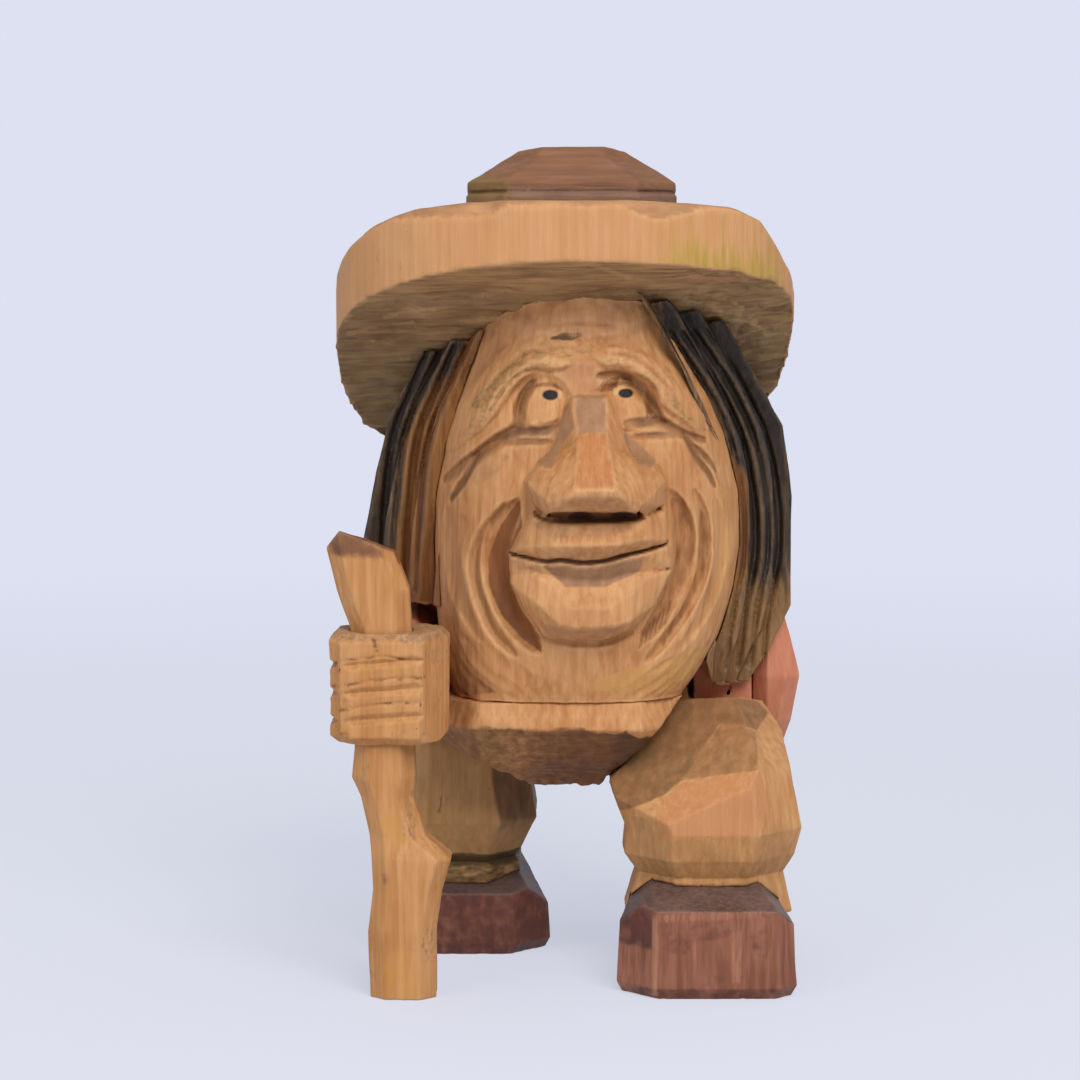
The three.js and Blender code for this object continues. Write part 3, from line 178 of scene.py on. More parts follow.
def smooth_path(path: tuple[Place, ...]) -> Array:
    """Draws a smooth line through the places of a stroke.

    Args:
        path: two or more places.

    Returns:
        The line's points, close together.
    """
    spots = np.array(path)
    padded = np.vstack([2 * spots[0] - spots[1], spots, 2 * spots[-1] - spots[-2]])
    steps = np.linspace(0.0, 1.0, PATH_STEPS, endpoint=False)[:, None]
    runs = []
    for a, b, c, d in zip(padded, padded[1:], padded[2:], padded[3:]):
        bend = 2 * a - 5 * b + 4 * c - d
        twist = 3 * b - a - 3 * c + d
        runs.append(b + 0.5 * (steps * (c - a) + steps ** 2 * bend + steps ** 3 * twist))
    return np.vstack(runs + [spots[-1:]])


def off_path(route: Array, spots: Array) -> tuple[Array, Array]:
    """Measures spots against a line.

    Args:
        route: the line's points.
        spots: the places to measure.

    Returns:
        The distance of each spot from the line, negative to the right of it, and its share of the way along.
    """
    best = np.full(len(spots), np.inf)
    side = np.ones(len(spots))
    share = np.zeros(len(spots))
    lengths = np.linalg.norm(np.diff(route, axis=0), axis=1)
    passed = np.concatenate([[0.0], np.cumsum(lengths)])
    for start, run, length, before in zip(route, np.diff(route, axis=0), lengths, passed):
        gap = spots - start
        part = np.clip(gap @ run / (length * length), 0.0, 1.0)
        gap = gap - part[:, None] * run
        distance = np.hypot(gap[:, 0], gap[:, 1])
        closer = distance < best
        best[closer] = distance[closer]
        side[closer] = np.where(run[0] * gap[closer, 1] - run[1] * gap[closer, 0] < 0, -1.0, 1.0)
        share[closer] = (before + part[closer] * length) / passed[-1]
    return best * side, share


def within(corners: tuple[Place, ...], spots: Array, soft: float) -> Array:
    """Tells how far spots lie inside an outline.

    Args:
        corners: the outline's corners, in order.
        spots: the places to test.
        soft: the width over which the edge fades, in millimetres.

    Returns:
        1 well inside, 0 outside and a half on the edge.
    """
    ring = np.array(corners)
    odd = np.zeros(len(spots), bool)
    nearest = np.full(len(spots), np.inf)
    for start, end in zip(ring, np.roll(ring, -1, axis=0)):
        run = end - start
        gap = spots - start
        part = np.clip(gap @ run / (run @ run), 0.0, 1.0)
        nearest = np.minimum(nearest, np.linalg.norm(gap - part[:, None] * run, axis=1))
        crosses = (start[1] > spots[:, 1]) != (end[1] > spots[:, 1])
        rise = run[1] if run[1] else TINY
        odd ^= crosses & (gap[:, 0] < run[0] * gap[:, 1] / rise)
    return ease(-soft, soft, np.where(odd, nearest, -nearest))


class Tool(Enum):
    """The section that a stroke leaves in the wood."""

    VEE = "v tool"
    GOUGE = "round gouge"


class Grain(Enum):
    """The way the wood's fibres run, as the share of their length along x, y and z."""

    UPRIGHT = (1.0, 1.0, 24.0)
    LEVEL = (24.0, 3.0, 1.0)


@dataclass(frozen=True)
class Stroke:
    """One stroke over the front of a block, in millimetres on the front view.

    A negative depth leaves a roll standing. Lean is the width of the side left of the path as a share of the other
    side. Taper is the stroke's size at its ends, and dark is how much dirt and painted shade it holds.
    """

    path: tuple[Place, ...]
    half: float
    depth: float
    tool: Tool = Tool.VEE
    lean: float = 1.0
    taper: float = 0.4
    dark: float = 0.0


@dataclass(frozen=True)
class Lump:
    """A form left standing with flat knife facets.

    Its corners are (x, height, place in front of the axis) in millimetres, and the form is their hull.
    """

    corners: tuple[Triple, ...]

    def front(self) -> BVHTree:
        """Builds the hull, ready to be met by lines of sight.

        Returns:
            The hull's search tree, in millimetres.
        """
        shape = bmesh.new()
        for x, z, proud in self.corners:
            shape.verts.new((x, -proud, z))
        bmesh.ops.convex_hull(shape, input=shape.verts)
        tree = BVHTree.FromBMesh(shape)
        shape.free()
        return tree


@dataclass(frozen=True)
class Tint:
    """A patch of one wash on the front view: the wash's mask, its strength and the patch's corners in millimetres."""

    mask: str
    strength: float
    corners: tuple[Place, ...]


@dataclass(frozen=True)
class Chisel:
    """A run of short flat cuts, in millimetres, each drawn between two limits. Swing is their spread in radians."""

    count: int
    length: Place
    half: Place
    depth: Place
    swing: float
    seed: int


@dataclass(frozen=True)
class Bumps:
    """A layer of random unevenness: its height, its size along x, y and z in millimetres and its seed."""

    height: float
    size: Triple
    seed: int


@dataclass(frozen=True)
class Coat:
    """One thin wash of colour that a mask lays on the wood.

    Sweep is the size of its brush marks along x, y and z in millimetres. Ragged is how far they break the wash's edge.
    The last fields are the noise values between which a brush mark, the wash's cover and its thickness change, and the
    least mask that takes any wash.
    """

    mask: str
    thin: str
    thick: str
    opacity: float = 0.85
    ragged: float = 0.3
    sweep: Triple = (1.2, 1.2, 7.0)
    brush: Place = (0.3, 0.7)
    cover: Place = (0.2, 0.9)
    layer: Place = (0.75, 1.25)
    least: float = 0.05


@dataclass(frozen=True)
class Dot:
    """A small painted spot on the front view, in millimetres. Its edge is soft between two shares of its radii."""

    place: Place
    radii: Place
    colour: str
    opacity: float = 1.0
    edge: Place = (1.1, 0.8)


@dataclass(frozen=True)
class Mark:
    """Marks of the grain: width in millimetres, length as a share of the grain's, and how many finer layers."""

    width: float
    length: float
    detail: float


def empty_material(name: str) -> bpy.types.Material:
    """Starts a material that has no nodes yet."""
    material = bpy.data.materials.new(name)
    material.use_nodes = True
    material.node_tree.nodes.clear()
    return material


def add_node(
    tree: bpy.types.NodeTree, kind: str, *inputs: Any, named: dict | None = None, **settings: Any,
) -> bpy.types.Node:
    """Adds a shader node with its settings and links.

    Args:
        tree: the node tree.
        kind: the node's type, without ShaderNode before it.
        inputs: the sockets to link or the values to set, in the order of the node's inputs.
        named: more of them, each by its input's name or index.
        settings: the node's own properties.

    Returns:
        The new node.
    """
    node = tree.nodes.new(f"ShaderNode{kind}")
    for name, value in settings.items():
        setattr(node, name, value)
    for key, value in [*enumerate(inputs), *(named or {}).items()]:
        if isinstance(value, Socket):
            tree.links.new(value, node.inputs[key])
        else:
            node.inputs[key].default_value = value
    return node


@dataclass(frozen=True)
class CarvedWood:
    """Limewood cut with knife and gouge, thinly washed and left matt.

    The knife leaves long pale and warm streaks along the grain, fine broken fibres and small dark pores. Edges wear
    paler, and cuts and hollows darken with brown dirt and painted shade. Places are the noise values between which a
    trait changes.
    """

    name: str
    dark: str
    wood: str
    pale: str
    groove: str
    bare: str
    coats: tuple[Coat, ...] = ()
    dots: tuple[Dot, ...] = ()
    grain: Grain = Grain.UPRIGHT
    roughness: float = 0.62
    uneven: float = 0.08
    wear: float = 0.5
    least_wear: float = 0.2
    dirt_and_shade: float = 0.75
    relief: float = 0.25
    relief_mm: float = 0.3
    streaks: Mark = Mark(1.1, 1.0, 4.0)
    fibres: Mark = Mark(0.3, 0.8, 2.0)
    clouds: Mark = Mark(11.0, 0.03, 3.0)
    pores: Mark = Mark(0.4, 0.4, 1.0)
    brush_detail: float = 3.0
    layer_share: float = 0.55
    streak_share: float = 1.2
    pore_share: float = 0.35
    dark_tones: Place = (0.8, 1.1)
    pale_tones: Place = (1.08, 1.4)
    pore_edge: Place = (0.62, 0.76)
    rubbed_fibres: Place = (0.3, 0.6)
    matt_fibres: Place = (0.3, 0.7)
    hollows_with_dirt_and_shade: Place = (0.08, 0.9)
    refraction: float = 1.45
    sheen: float = 0.35

    def along(self, mark: Mark) -> Triple:
        """Gives the size of marks that are drawn out along the grain."""
        across, deep, up = (1.0 + (share - 1.0) * mark.length for share in self.grain.value)
        return mark.width * across, mark.width * deep, mark.width * up

    def pattern(self, tree: bpy.types.NodeTree, place: Socket, size: Triple, detail: float) -> Socket:
        """Adds a random pattern of real size.

        Args:
            tree: the node tree.
            place: the socket with the place on the object.
            size: the pattern's size along x, y and z in millimetres.
            detail: how many finer layers it has.

        Returns:
            The socket with the pattern's value.
        """
        scale = tuple(1.0 / (part * MM) for part in size)
        spread = add_node(tree, "Mapping", named={"Vector": place, "Scale": scale}).outputs["Vector"]
        noise = {"Vector": spread, "Scale": 1.0, "Detail": detail, "Roughness": self.layer_share}
        return add_node(tree, "TexNoise", named=noise).outputs["Fac"]

    def bare_wood(self, tree: bpy.types.NodeTree, streak: Socket, cloud: Socket, pore: Socket) -> Socket:
        """Mixes the wood's own colour from its grain.

        Args:
            tree: the node tree.
            streak: the socket of the long streaks.
            cloud: the socket of the broad tone.
            pore: the socket of the pores' strength.

        Returns:
            The socket with the colour.
        """
        tone = add_node(tree, "Math", streak, self.streak_share, cloud, operation="MULTIPLY_ADD").outputs[0]
        light = add_node(tree, "MapRange", tone, *self.dark_tones).outputs["Result"]
        lightest = add_node(tree, "MapRange", tone, *self.pale_tones).outputs["Result"]
        colour = linear(self.dark)
        for share, upper in ((light, self.wood), (lightest, self.pale), (pore, self.dark)):
            laid = {0: share, 6: colour, 7: linear(upper)}
            colour = add_node(tree, "Mix", named=laid, data_type="RGBA").outputs[2]
        return colour

    def washed(self, tree: bpy.types.NodeTree, place: Socket, cloud: Socket, colour: Socket) -> Socket:
        """Lays the washes over the wood.

        Args:
            tree: the node tree.
            place: the socket with the place on the object.
            cloud: the socket of the broad tone.
            colour: the socket with the wood's colour.

        Returns:
            The socket with the washed colour.
        """
        for coat in self.coats:
            mask = add_node(tree, "Attribute", attribute_name=coat.mask).outputs["Fac"]
            brush = self.pattern(tree, place, coat.sweep, self.brush_detail)
            broken = add_node(tree, "MapRange", brush, *coat.brush, -coat.ragged, coat.ragged, clamp=False)
            total = add_node(tree, "Math", mask, broken.outputs["Result"], operation="ADD").outputs[0]
            limits = (total, *coat.cover, 0.0, coat.opacity)
            cover = add_node(tree, "MapRange", *limits, interpolation_type="SMOOTHSTEP").outputs["Result"]
            some = add_node(tree, "Math", mask, coat.least, operation="GREATER_THAN").outputs[0]
            cover = add_node(tree, "Math", cover, some, operation="MULTIPLY").outputs[0]
            depth = add_node(tree, "Math", brush, cloud, operation="ADD").outputs[0]
            thick = add_node(tree, "MapRange", depth, *coat.layer).outputs["Result"]
            paint = {0: thick, 6: linear(coat.thin), 7: linear(coat.thick)}
            wash = add_node(tree, "Mix", named=paint, data_type="RGBA").outputs[2]
            laid = {0: cover, 6: colour, 7: wash}
            colour = add_node(tree, "Mix", named=laid, data_type="RGBA").outputs[2]
        return colour

    def used(self, tree: bpy.types.NodeTree, place: Socket, fibre: Socket, colour: Socket) -> Socket:
        """Wears the edges, darkens the cuts and hollows with dirt and painted shade, and sets the spots.

        Args:
            tree: the node tree.
            place: the socket with the place on the object.
            fibre: the socket of the fine fibres.
            colour: the socket with the washed colour.

        Returns:
            The socket with the finished colour.
        """
        worn = add_node(tree, "Attribute", attribute_name="worn").outputs["Fac"]
        rubbed = add_node(tree, "MapRange", fibre, *self.rubbed_fibres, self.least_wear, self.wear).outputs["Result"]
        paler = add_node(tree, "Math", worn, rubbed, operation="MULTIPLY").outputs[0]
        hollow = add_node(tree, "Attribute", attribute_name="hollow").outputs["Fac"]
        # Cuts and hollows take the groove colour: dirt and painted shade
        darker = add_node(tree, "MapRange", hollow, *self.hollows_with_dirt_and_shade, 0.0, self.dirt_and_shade).outputs["Result"]
        layers = [(paler, self.bare), (darker, self.groove)]
        for dot in self.dots:
            (x, z), (wide, high) = dot.place, dot.radii
            middle = (x * MM, 0.0, z * MM)
            scale = (1.0 / (wide * MM), 0.0, 1.0 / (high * MM))
            offset = add_node(tree, "VectorMath", place, middle, operation="SUBTRACT").outputs["Vector"]
            shape = add_node(tree, "VectorMath", offset, scale, operation="MULTIPLY").outputs["Vector"]
            away = add_node(tree, "VectorMath", shape, operation="LENGTH").outputs["Value"]
            spot = add_node(tree, "MapRange", away, *dot.edge, 0.0, dot.opacity).outputs["Result"]
            layers.append((spot, dot.colour))
        for share, upper in layers:
            laid = {0: share, 6: colour, 7: linear(upper)}
            colour = add_node(tree, "Mix", named=laid, data_type="RGBA").outputs[2]
        return colour

    def make(self) -> bpy.types.Material:
        """Builds the finish.

        Returns:
            The material.
        """
        material = empty_material(self.name)
        tree = material.node_tree
        place = add_node(tree, "TexCoord").outputs["Object"]
        marks = (self.streaks, self.fibres, self.clouds, self.pores)
        streak, fibre, cloud, pore = (self.pattern(tree, place, self.along(mark), mark.detail) for mark in marks)
        pore = add_node(tree, "MapRange", pore, *self.pore_edge, 0.0, self.pore_share).outputs["Result"]
        colour = self.washed(tree, place, cloud, self.bare_wood(tree, streak, cloud, pore))
        matt = (self.roughness + self.uneven, self.roughness - self.uneven)
        height = add_node(tree, "Math", streak, fibre, operation="ADD").outputs[0]
        height = add_node(tree, "Math", height, pore, operation="SUBTRACT").outputs[0]
        bump = {"Strength": self.relief, "Distance": self.relief_mm * MM, "Height": height}
        skin = {
            "Base Color": self.used(tree, place, fibre, colour),
            "Roughness": add_node(tree, "MapRange", fibre, *self.matt_fibres, *matt).outputs["Result"],
            "Normal": add_node(tree, "Bump", named=bump).outputs["Normal"],
            "IOR": self.refraction,
            "Specular IOR Level": self.sheen,
        }
        surface = add_node(tree, "BsdfPrincipled", named=skin).outputs["BSDF"]
        add_node(tree, "OutputMaterial", named={"Surface": surface})
        return material


@cache
def material_for(wood: CarvedWood) -> bpy.types.Material:
    """Gives a finish's material, made once."""
    return wood.make()


# Limewood rim and underside, sawn and roughly gouged: pale sawn face, brown wash under it and on top
BRIM_WOOD = CarvedWood(
    name="sawn_limewood_brim", dark="#B88555", wood="#BE8C5E", pale="#C49468", groove="#3E2A18", bare="#CBA276",
    coats=(
        Coat("olive", thin="#A08259", thick="#6F5438", opacity=0.95, ragged=0.15, sweep=(9.0, 1.2, 0.9)),
        Coat("umber", thin="#A67C58", thick="#8C6344", ragged=0.2, sweep=(6.0, 3.0, 2.0)),
        Coat("moss", thin="#B8924C", thick="#98862E", sweep=(1.2, 1.2, 9.0)),
        Coat("split", thin="#C4A278", thick="#A88458", opacity=0.55, ragged=0.6, sweep=(1.2, 1.2, 0.6)),
    ),
    dirt_and_shade=0.6,
)

# Brown-washed limewood crown: reddish thin wash drawn along the facets, paler along the top edge
CROWN_WOOD = CarvedWood(
    name="brown_washed_limewood_crown", dark="#6B4730", wood="#7A543B", pale="#8F674A", groove="#33231A",
    bare="#9C7652",
    coats=(
        Coat("umber", thin="#8A5F42", thick="#6A452D", opacity=0.8, ragged=0.4, sweep=(14.0, 4.0, 0.9)),
        Coat("smoke", thin="#846656", thick="#705446", ragged=0.15, sweep=(4.0, 2.0, 1.0)),
        Coat("olive", thin="#84693E", thick="#6C5430", opacity=0.8, sweep=(3.0, 3.0, 2.0)),
    ),
    grain=Grain.LEVEL,
)

# Knife-cut limewood face with a thin warm wash: tan skin, grey-brown and pink-grey painted shade on the small facets
# and under the brim, dirt and painted shade in the cuts, ink pupils beside pale eye whites with a painted highlight,
# painted shade in the nostrils
FACE_WOOD = CarvedWood(
    name="knife_cut_limewood_face", dark="#AA7243", wood="#BC8757", pale="#C99868", groove="#4A2A14", bare="#D0A678",
    coats=(
        Coat("honey", thin="#C4935A", thick="#B98A4A", opacity=0.8, ragged=0.2, sweep=(3.0, 3.0, 2.0)),
        Coat("blush", thin="#AC7F60", thick="#966A50", ragged=0.15, sweep=(3.0, 3.0, 5.0)),
        Coat("olive", thin="#A68656", thick="#86683E", opacity=0.8, ragged=0.4, sweep=(1.6, 1.6, 0.8)),
        Coat("smoke", thin="#9C775A", thick="#805C43", ragged=0.12, sweep=(2.0, 2.0, 3.0)),
        Coat("umber", thin="#85512B", thick="#6C3E1E", opacity=0.9, ragged=0.15, sweep=(1.5, 1.5, 4.0)),
        Coat("knot", thin="#5A4230", thick="#402C1C", ragged=0.15, sweep=(3.0, 1.5, 0.6)),
        Coat("orange", thin="#BE7E50", thick="#A2623A", opacity=0.75, sweep=(0.5, 3.0, 9.0)),
    ),
    dots=(
        Dot((-3.6, 106.3), (1.5, 0.95), "#15100E"), Dot((9.7, 106.6), (1.4, 0.85), "#15100E"),
        # Pale spots beside the pupils: eye white with a painted highlight
        Dot((-1.9, 106.3), (0.45, 0.8), "#CDA67E", 0.8),
        Dot((7.9, 106.9), (0.5, 0.7), "#CDA67E", 0.8),
        # Nostrils: dark dots of painted shade
        Dot((1.7, 86.0), (1.7, 0.8), "#42261A", 0.85), Dot((8.9, 86.0), (1.9, 0.85), "#42261A", 0.85),
    ),
    dirt_and_shade=0.85,
)

# Black paint on gouged limewood: thin matt black, brown wood on the worn ridges and tips
HAIR_WOOD = CarvedWood(
    name="black_washed_gouged_limewood", dark="#5A330F", wood="#70431A", pale="#8A5C2B", groove="#150F0B",
    bare="#A9855A",
    coats=(
        Coat("umber", thin="#8C6A44", thick="#66492A", opacity=0.9, sweep=(0.8, 0.8, 9.0)),
        Coat("black", thin="#2C231D", thick="#17130F", opacity=0.97, ragged=0.25, sweep=(0.9, 0.9, 12.0)),
    ),
    roughness=0.48, wear=0.6, dirt_and_shade=0.8, relief=0.35,
)

# Red paint on knife-cut limewood: thin salmon red with the grain in it, worn on the facet edges
JACKET_WOOD = CarvedWood(
    name="red_washed_limewood", dark="#AC6E52", wood="#B87A5C", pale="#C48A6C", groove="#6E3826", bare="#C99276",
    coats=(Coat("red", thin="#CE8669", thick="#BC7156", ragged=0.25, sweep=(2.0, 2.0, 6.0)),),
)

# Olive wash on knife-cut limewood: tan wood where it has worn off, brown-green where it lies thick
TROUSER_WOOD = CarvedWood(
    name="olive_washed_limewood", dark="#AC7646", wood="#BA8757", pale="#C79868", groove="#4A331D", bare="#C8A078",
    coats=(
        Coat("olive", thin="#A48557", thick="#886A42", ragged=0.1, sweep=(2.0, 2.0, 4.0)),
        Coat("umber", thin="#7E5B3C", thick="#644529", ragged=0.08, sweep=(2.0, 2.0, 4.0)),
        Coat("hem", thin="#4E3B23", thick="#343019", opacity=0.9, sweep=(3.0, 3.0, 1.0)),
        Coat("orange", thin="#C68C62", thick="#B6784E", opacity=0.7, sweep=(0.5, 0.5, 9.0)),
    ),
)

# Red-brown paint on limewood shoes: dark maroon, also laid as painted shade on the rear shoe and the left chamfer,
# streaked off along the grain, dusty on top
SHOE_WOOD = CarvedWood(
    name="red_brown_painted_limewood", dark="#7E4C3C", wood="#8E5B48", pale="#9C6A56", groove="#30201B", bare="#A87E68",
    coats=(
        Coat("red", thin="#85533B", thick="#6C402E", opacity=0.9, ragged=0.35, sweep=(1.4, 1.4, 14.0)),
        Coat("maroon", thin="#5C332C", thick="#482620", opacity=0.9, ragged=0.2, sweep=(2.0, 2.0, 2.0)),
        Coat("dust", thin="#6E5B57", thick="#463734", opacity=0.9, sweep=(0.9, 0.9, 0.9)),
        Coat("rubbed", thin="#B08066", thick="#9C6C52", opacity=0.8, ragged=0.35, sweep=(0.5, 0.5, 8.0)),
    ),
    roughness=0.52, relief=0.3,
)

# Bare limewood hand and staff: waxed tan wood with warm streaks, brown in the cuts
BARE_WOOD = CarvedWood(
    name="waxed_bare_limewood", dark="#A8713F", wood="#B78350", pale="#C49263", groove="#452C18", bare="#CCA274",
    coats=(
        Coat("smoke", thin="#9E8064", thick="#7E634A", opacity=0.75, ragged=0.4, sweep=(0.7, 0.7, 1.2)),
        Coat("umber", thin="#7A5138", thick="#60402B", opacity=0.9, ragged=0.15, sweep=(2.0, 2.0, 2.0)),
        Coat("honey", thin="#C69758", thick="#B8883F", opacity=0.6, sweep=(3.0, 3.0, 6.0)),
    ),
)

# Turned dowel: plain pale wood with straight grain
DOWEL_WOOD = CarvedWood(
    name="turned_limewood_dowel", dark="#C9A878", wood="#D8BA8C", pale="#E4CCA4", groove="#A88452", bare="#E4CCA4",
)


class Block:
    """The fine mesh that stands for one CAD node, with its points in millimetres and its masks."""

    def __init__(self, node: str, spacing: float, shape: bmesh.types.BMesh | None = None) -> None:
        """Copies a node into a fine mesh that keeps its facets and edges.

        Args:
            node: the CAD node's name.
            spacing: the longest edge of the mesh in millimetres.
            shape: a mesh in metres to use as it is, where the node's own isn't even enough.
        """
        self.node = node
        self.spacing = spacing
        if shape is None:
            shape = self.split(spacing * coarser() * MM)
        shape.verts.index_update()
        sharp = [edge for edge in shape.edges if edge.calc_face_angle(0.0) > CREASE]
        self.sharp = np.array([[v.index for v in edge.verts] for edge in sharp], int).reshape(-1, 2)
        for face in shape.faces:
            face.smooth = True
        mesh = bpy.data.meshes.new(f"{node}_carving")
        shape.to_mesh(mesh)
        shape.free()
        self.piece = bpy.data.objects.new(mesh.name, mesh)
        bpy.context.scene.collection.objects.link(self.piece)
        flat = np.empty(len(mesh.vertices) * 3, np.float32)
        mesh.vertices.foreach_get("co", flat)
        self.points = flat.reshape(-1, 3).astype(float) / MM
        pairs = np.empty(len(mesh.edges) * 2, np.int32)
        mesh.edges.foreach_get("vertices", pairs)
        self.pairs = pairs.reshape(-1, 2)
        self.dark = np.zeros(len(self.points))
        self.masks: dict[str, Array] = {}
        self.settle()

    def split(self, longest: float) -> bmesh.types.BMesh:
        """Splits the node's triangles until no edge is long.

        Args:
            longest: the longest edge in metres.

        Returns:
            The fine mesh.
        """
        shape = bmesh.new()
        shape.from_mesh(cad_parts[self.node].data)
        bmesh.ops.remove_doubles(shape, verts=shape.verts, dist=SLIVER * MM)
        bmesh.ops.dissolve_degenerate(shape, edges=shape.edges, dist=SLIVER * MM)
        bmesh.ops.triangulate(shape, faces=shape.faces)
        for turn in range(SPLIT_ROUNDS):
            if turn < BEAUTY_ROUNDS:
                flat = [edge for edge in shape.edges if edge.calc_face_angle(1.0) < FLAT_ANGLE]
                bmesh.ops.beautify_fill(shape, faces=shape.faces, edges=flat, method="ANGLE")
            long = [edge for edge in shape.edges if edge.calc_length() > longest]
            if not long:
                break
            bmesh.ops.subdivide_edges(shape, edges=long, cuts=1)
            bmesh.ops.triangulate(shape, faces=[face for face in shape.faces if len(face.verts) > 3])
        bmesh.ops.dissolve_degenerate(shape, edges=shape.edges, dist=LAST_SLIVER * MM)
        bmesh.ops.triangulate(shape, faces=[face for face in shape.faces if len(face.verts) > 3])
        return shape

    @property
    def x(self) -> Array:
        """The points' places along x."""
        return self.points[:, 0]

    @property
    def y(self) -> Array:
        """The points' places along y."""
        return self.points[:, 1]

    @property
    def z(self) -> Array:
        """The points' heights."""
        return self.points[:, 2]

    @property
    def view(self) -> Array:
        """The points' places on the front view."""
        return self.points[:, (0, 2)]

    @property
    def facing(self) -> Array:
        """How far each point faces the front, from -1 to 1."""
        return -self.normals[:, 1]

    def settle(self) -> None:
        """Writes the points to the mesh and reads the new normals."""
        mesh = self.piece.data
        mesh.vertices.foreach_set("co", (self.points * MM).astype(np.float32).ravel())
        mesh.update()
        flat = np.empty(len(self.points) * 3, np.float32)
        mesh.vertex_normals.foreach_get("vector", flat)
        self.normals = flat.reshape(-1, 3).astype(float)

    def mean(self, values: Array, pairs: Array | None = None) -> Array:
        """Averages each point's neighbours.

        Args:
            values: one value or row for each point.
            pairs: the edges that make neighbours, all edges where none are given.

        Returns:
            The neighbours' average, in the same form, or the point's own value where it has no neighbour.
        """
        if values.ndim > 1:
            return np.column_stack([self.mean(column, pairs) for column in values.T])
        first, second = (self.pairs if pairs is None else pairs).T
        count = np.bincount(first, minlength=len(values)) + np.bincount(second, minlength=len(values))
        total = np.bincount(first, values[second], len(values)) + np.bincount(second, values[first], len(values))
        return np.where(count > 0, total / np.maximum(count, 1), values)

    def relax(self, rounds: int, share: Array | float = 1.0, keep: bool = False) -> None:
        """Smooths the mesh.

        Args:
            rounds: how many passes.
            share: how far each point goes towards its neighbours' average.
            keep: whether sharp edges stay sharp and are smoothed only along their own line.
        """
        share = np.broadcast_to(share, len(self.points))[:, None]
        use = np.bincount(self.sharp.ravel(), minlength=len(self.points))[:, None]
        for _ in range(rounds):
            target = self.mean(self.points)
            if keep:
                target = np.where(use == 2, self.mean(self.points, self.sharp), target)
                target = np.where((use == 1) | (use > 2), self.points, target)
            self.points += share * RELAX_STEP * (target - self.points)
        self.settle()

    def bend(self) -> Array:
        """Measures how hollow the surface is.

        Returns:
            The bend at each point in 1/mm, negative on an edge.
        """
        first, second = self.pairs.T
        run = self.points[second] - self.points[first]
        square = np.maximum(np.einsum("ij,ij->i", run, run), (0.5 * self.spacing) ** 2)
        ahead = np.einsum("ij,ij->i", run, self.normals[first]) / square
        behind = -np.einsum("ij,ij->i", run, self.normals[second]) / square
        total = np.bincount(first, ahead, len(self.points)) + np.bincount(second, behind, len(self.points))
        return total / np.maximum(np.bincount(self.pairs.ravel(), minlength=len(self.points)), 1)

    def carve(self, *strokes: Stroke) -> None:
        """Cuts strokes into the front of the block.

        Args:
            strokes: the strokes, each cut into what the last one left.
        """
        for stroke in strokes:
            route = smooth_path(stroke.path)
            reach = stroke.half * max(1.0, stroke.lean)
            near = np.all((self.view > route.min(0) - reach) & (self.view < route.max(0) + reach), axis=1)
            near = np.flatnonzero(near & (self.facing > STROKE_FACING[0]))
            if not len(near):
                continue
            away, share = off_path(route, self.view[near])
            size = stroke.taper + (1.0 - stroke.taper) * np.sqrt(np.sin(np.pi * np.clip(share, 0.0, 1.0)))
            ratio = np.abs(away) / (stroke.half * size * np.where(away > 0, stroke.lean, 1.0))
            section = 1.0 - ratio if stroke.tool is Tool.VEE else 1.0 - ratio ** 2
            section = np.clip(section, 0.0, None) * ease(*STROKE_FACING, self.facing[near])
            self.points[near, 1] += stroke.depth * size * section
            # The cut's dark share: dirt and painted shade in the stroke
            self.dark[near] = np.maximum(self.dark[near], stroke.dark * np.minimum(1.0, STROKE_SHADE_AND_DIRT * section))
        self.settle()

    def raise_lumps(self, *lumps: Lump) -> None:
        """Brings the front out to flat-faceted forms.

        Args:
            lumps: the forms.
        """
        for lump in lumps:
            tree = lump.front()
            corners = np.array(lump.corners)[:, :2]
            near = np.all((self.view > corners.min(0)) & (self.view < corners.max(0)), axis=1)
            for index in np.flatnonzero(near & (self.y < 0)):
                x, y, z = self.points[index]
                place = tree.ray_cast((x, FAR_IN_FRONT, z), (0.0, 1.0, 0.0))[0]
                if place is not None and place.y < y:
                    self.points[index, 1] = place.y
                    self.dark[index] = 0.0
        self.settle()

    def tint(self, tints: tuple[Tint, ...], soft: float = 0.35) -> None:
        """Adds patches of washes to the masks.

        Args:
            tints: the patches.
            soft: the width over which their edges fade.
        """
        for patch in tints:
            mask = self.masks.setdefault(patch.mask, np.zeros(len(self.points)))
            share = patch.strength * within(patch.corners, self.view, soft) * ease(*TINT_FACING, self.facing)
            self.masks[patch.mask] = np.maximum(mask, share)

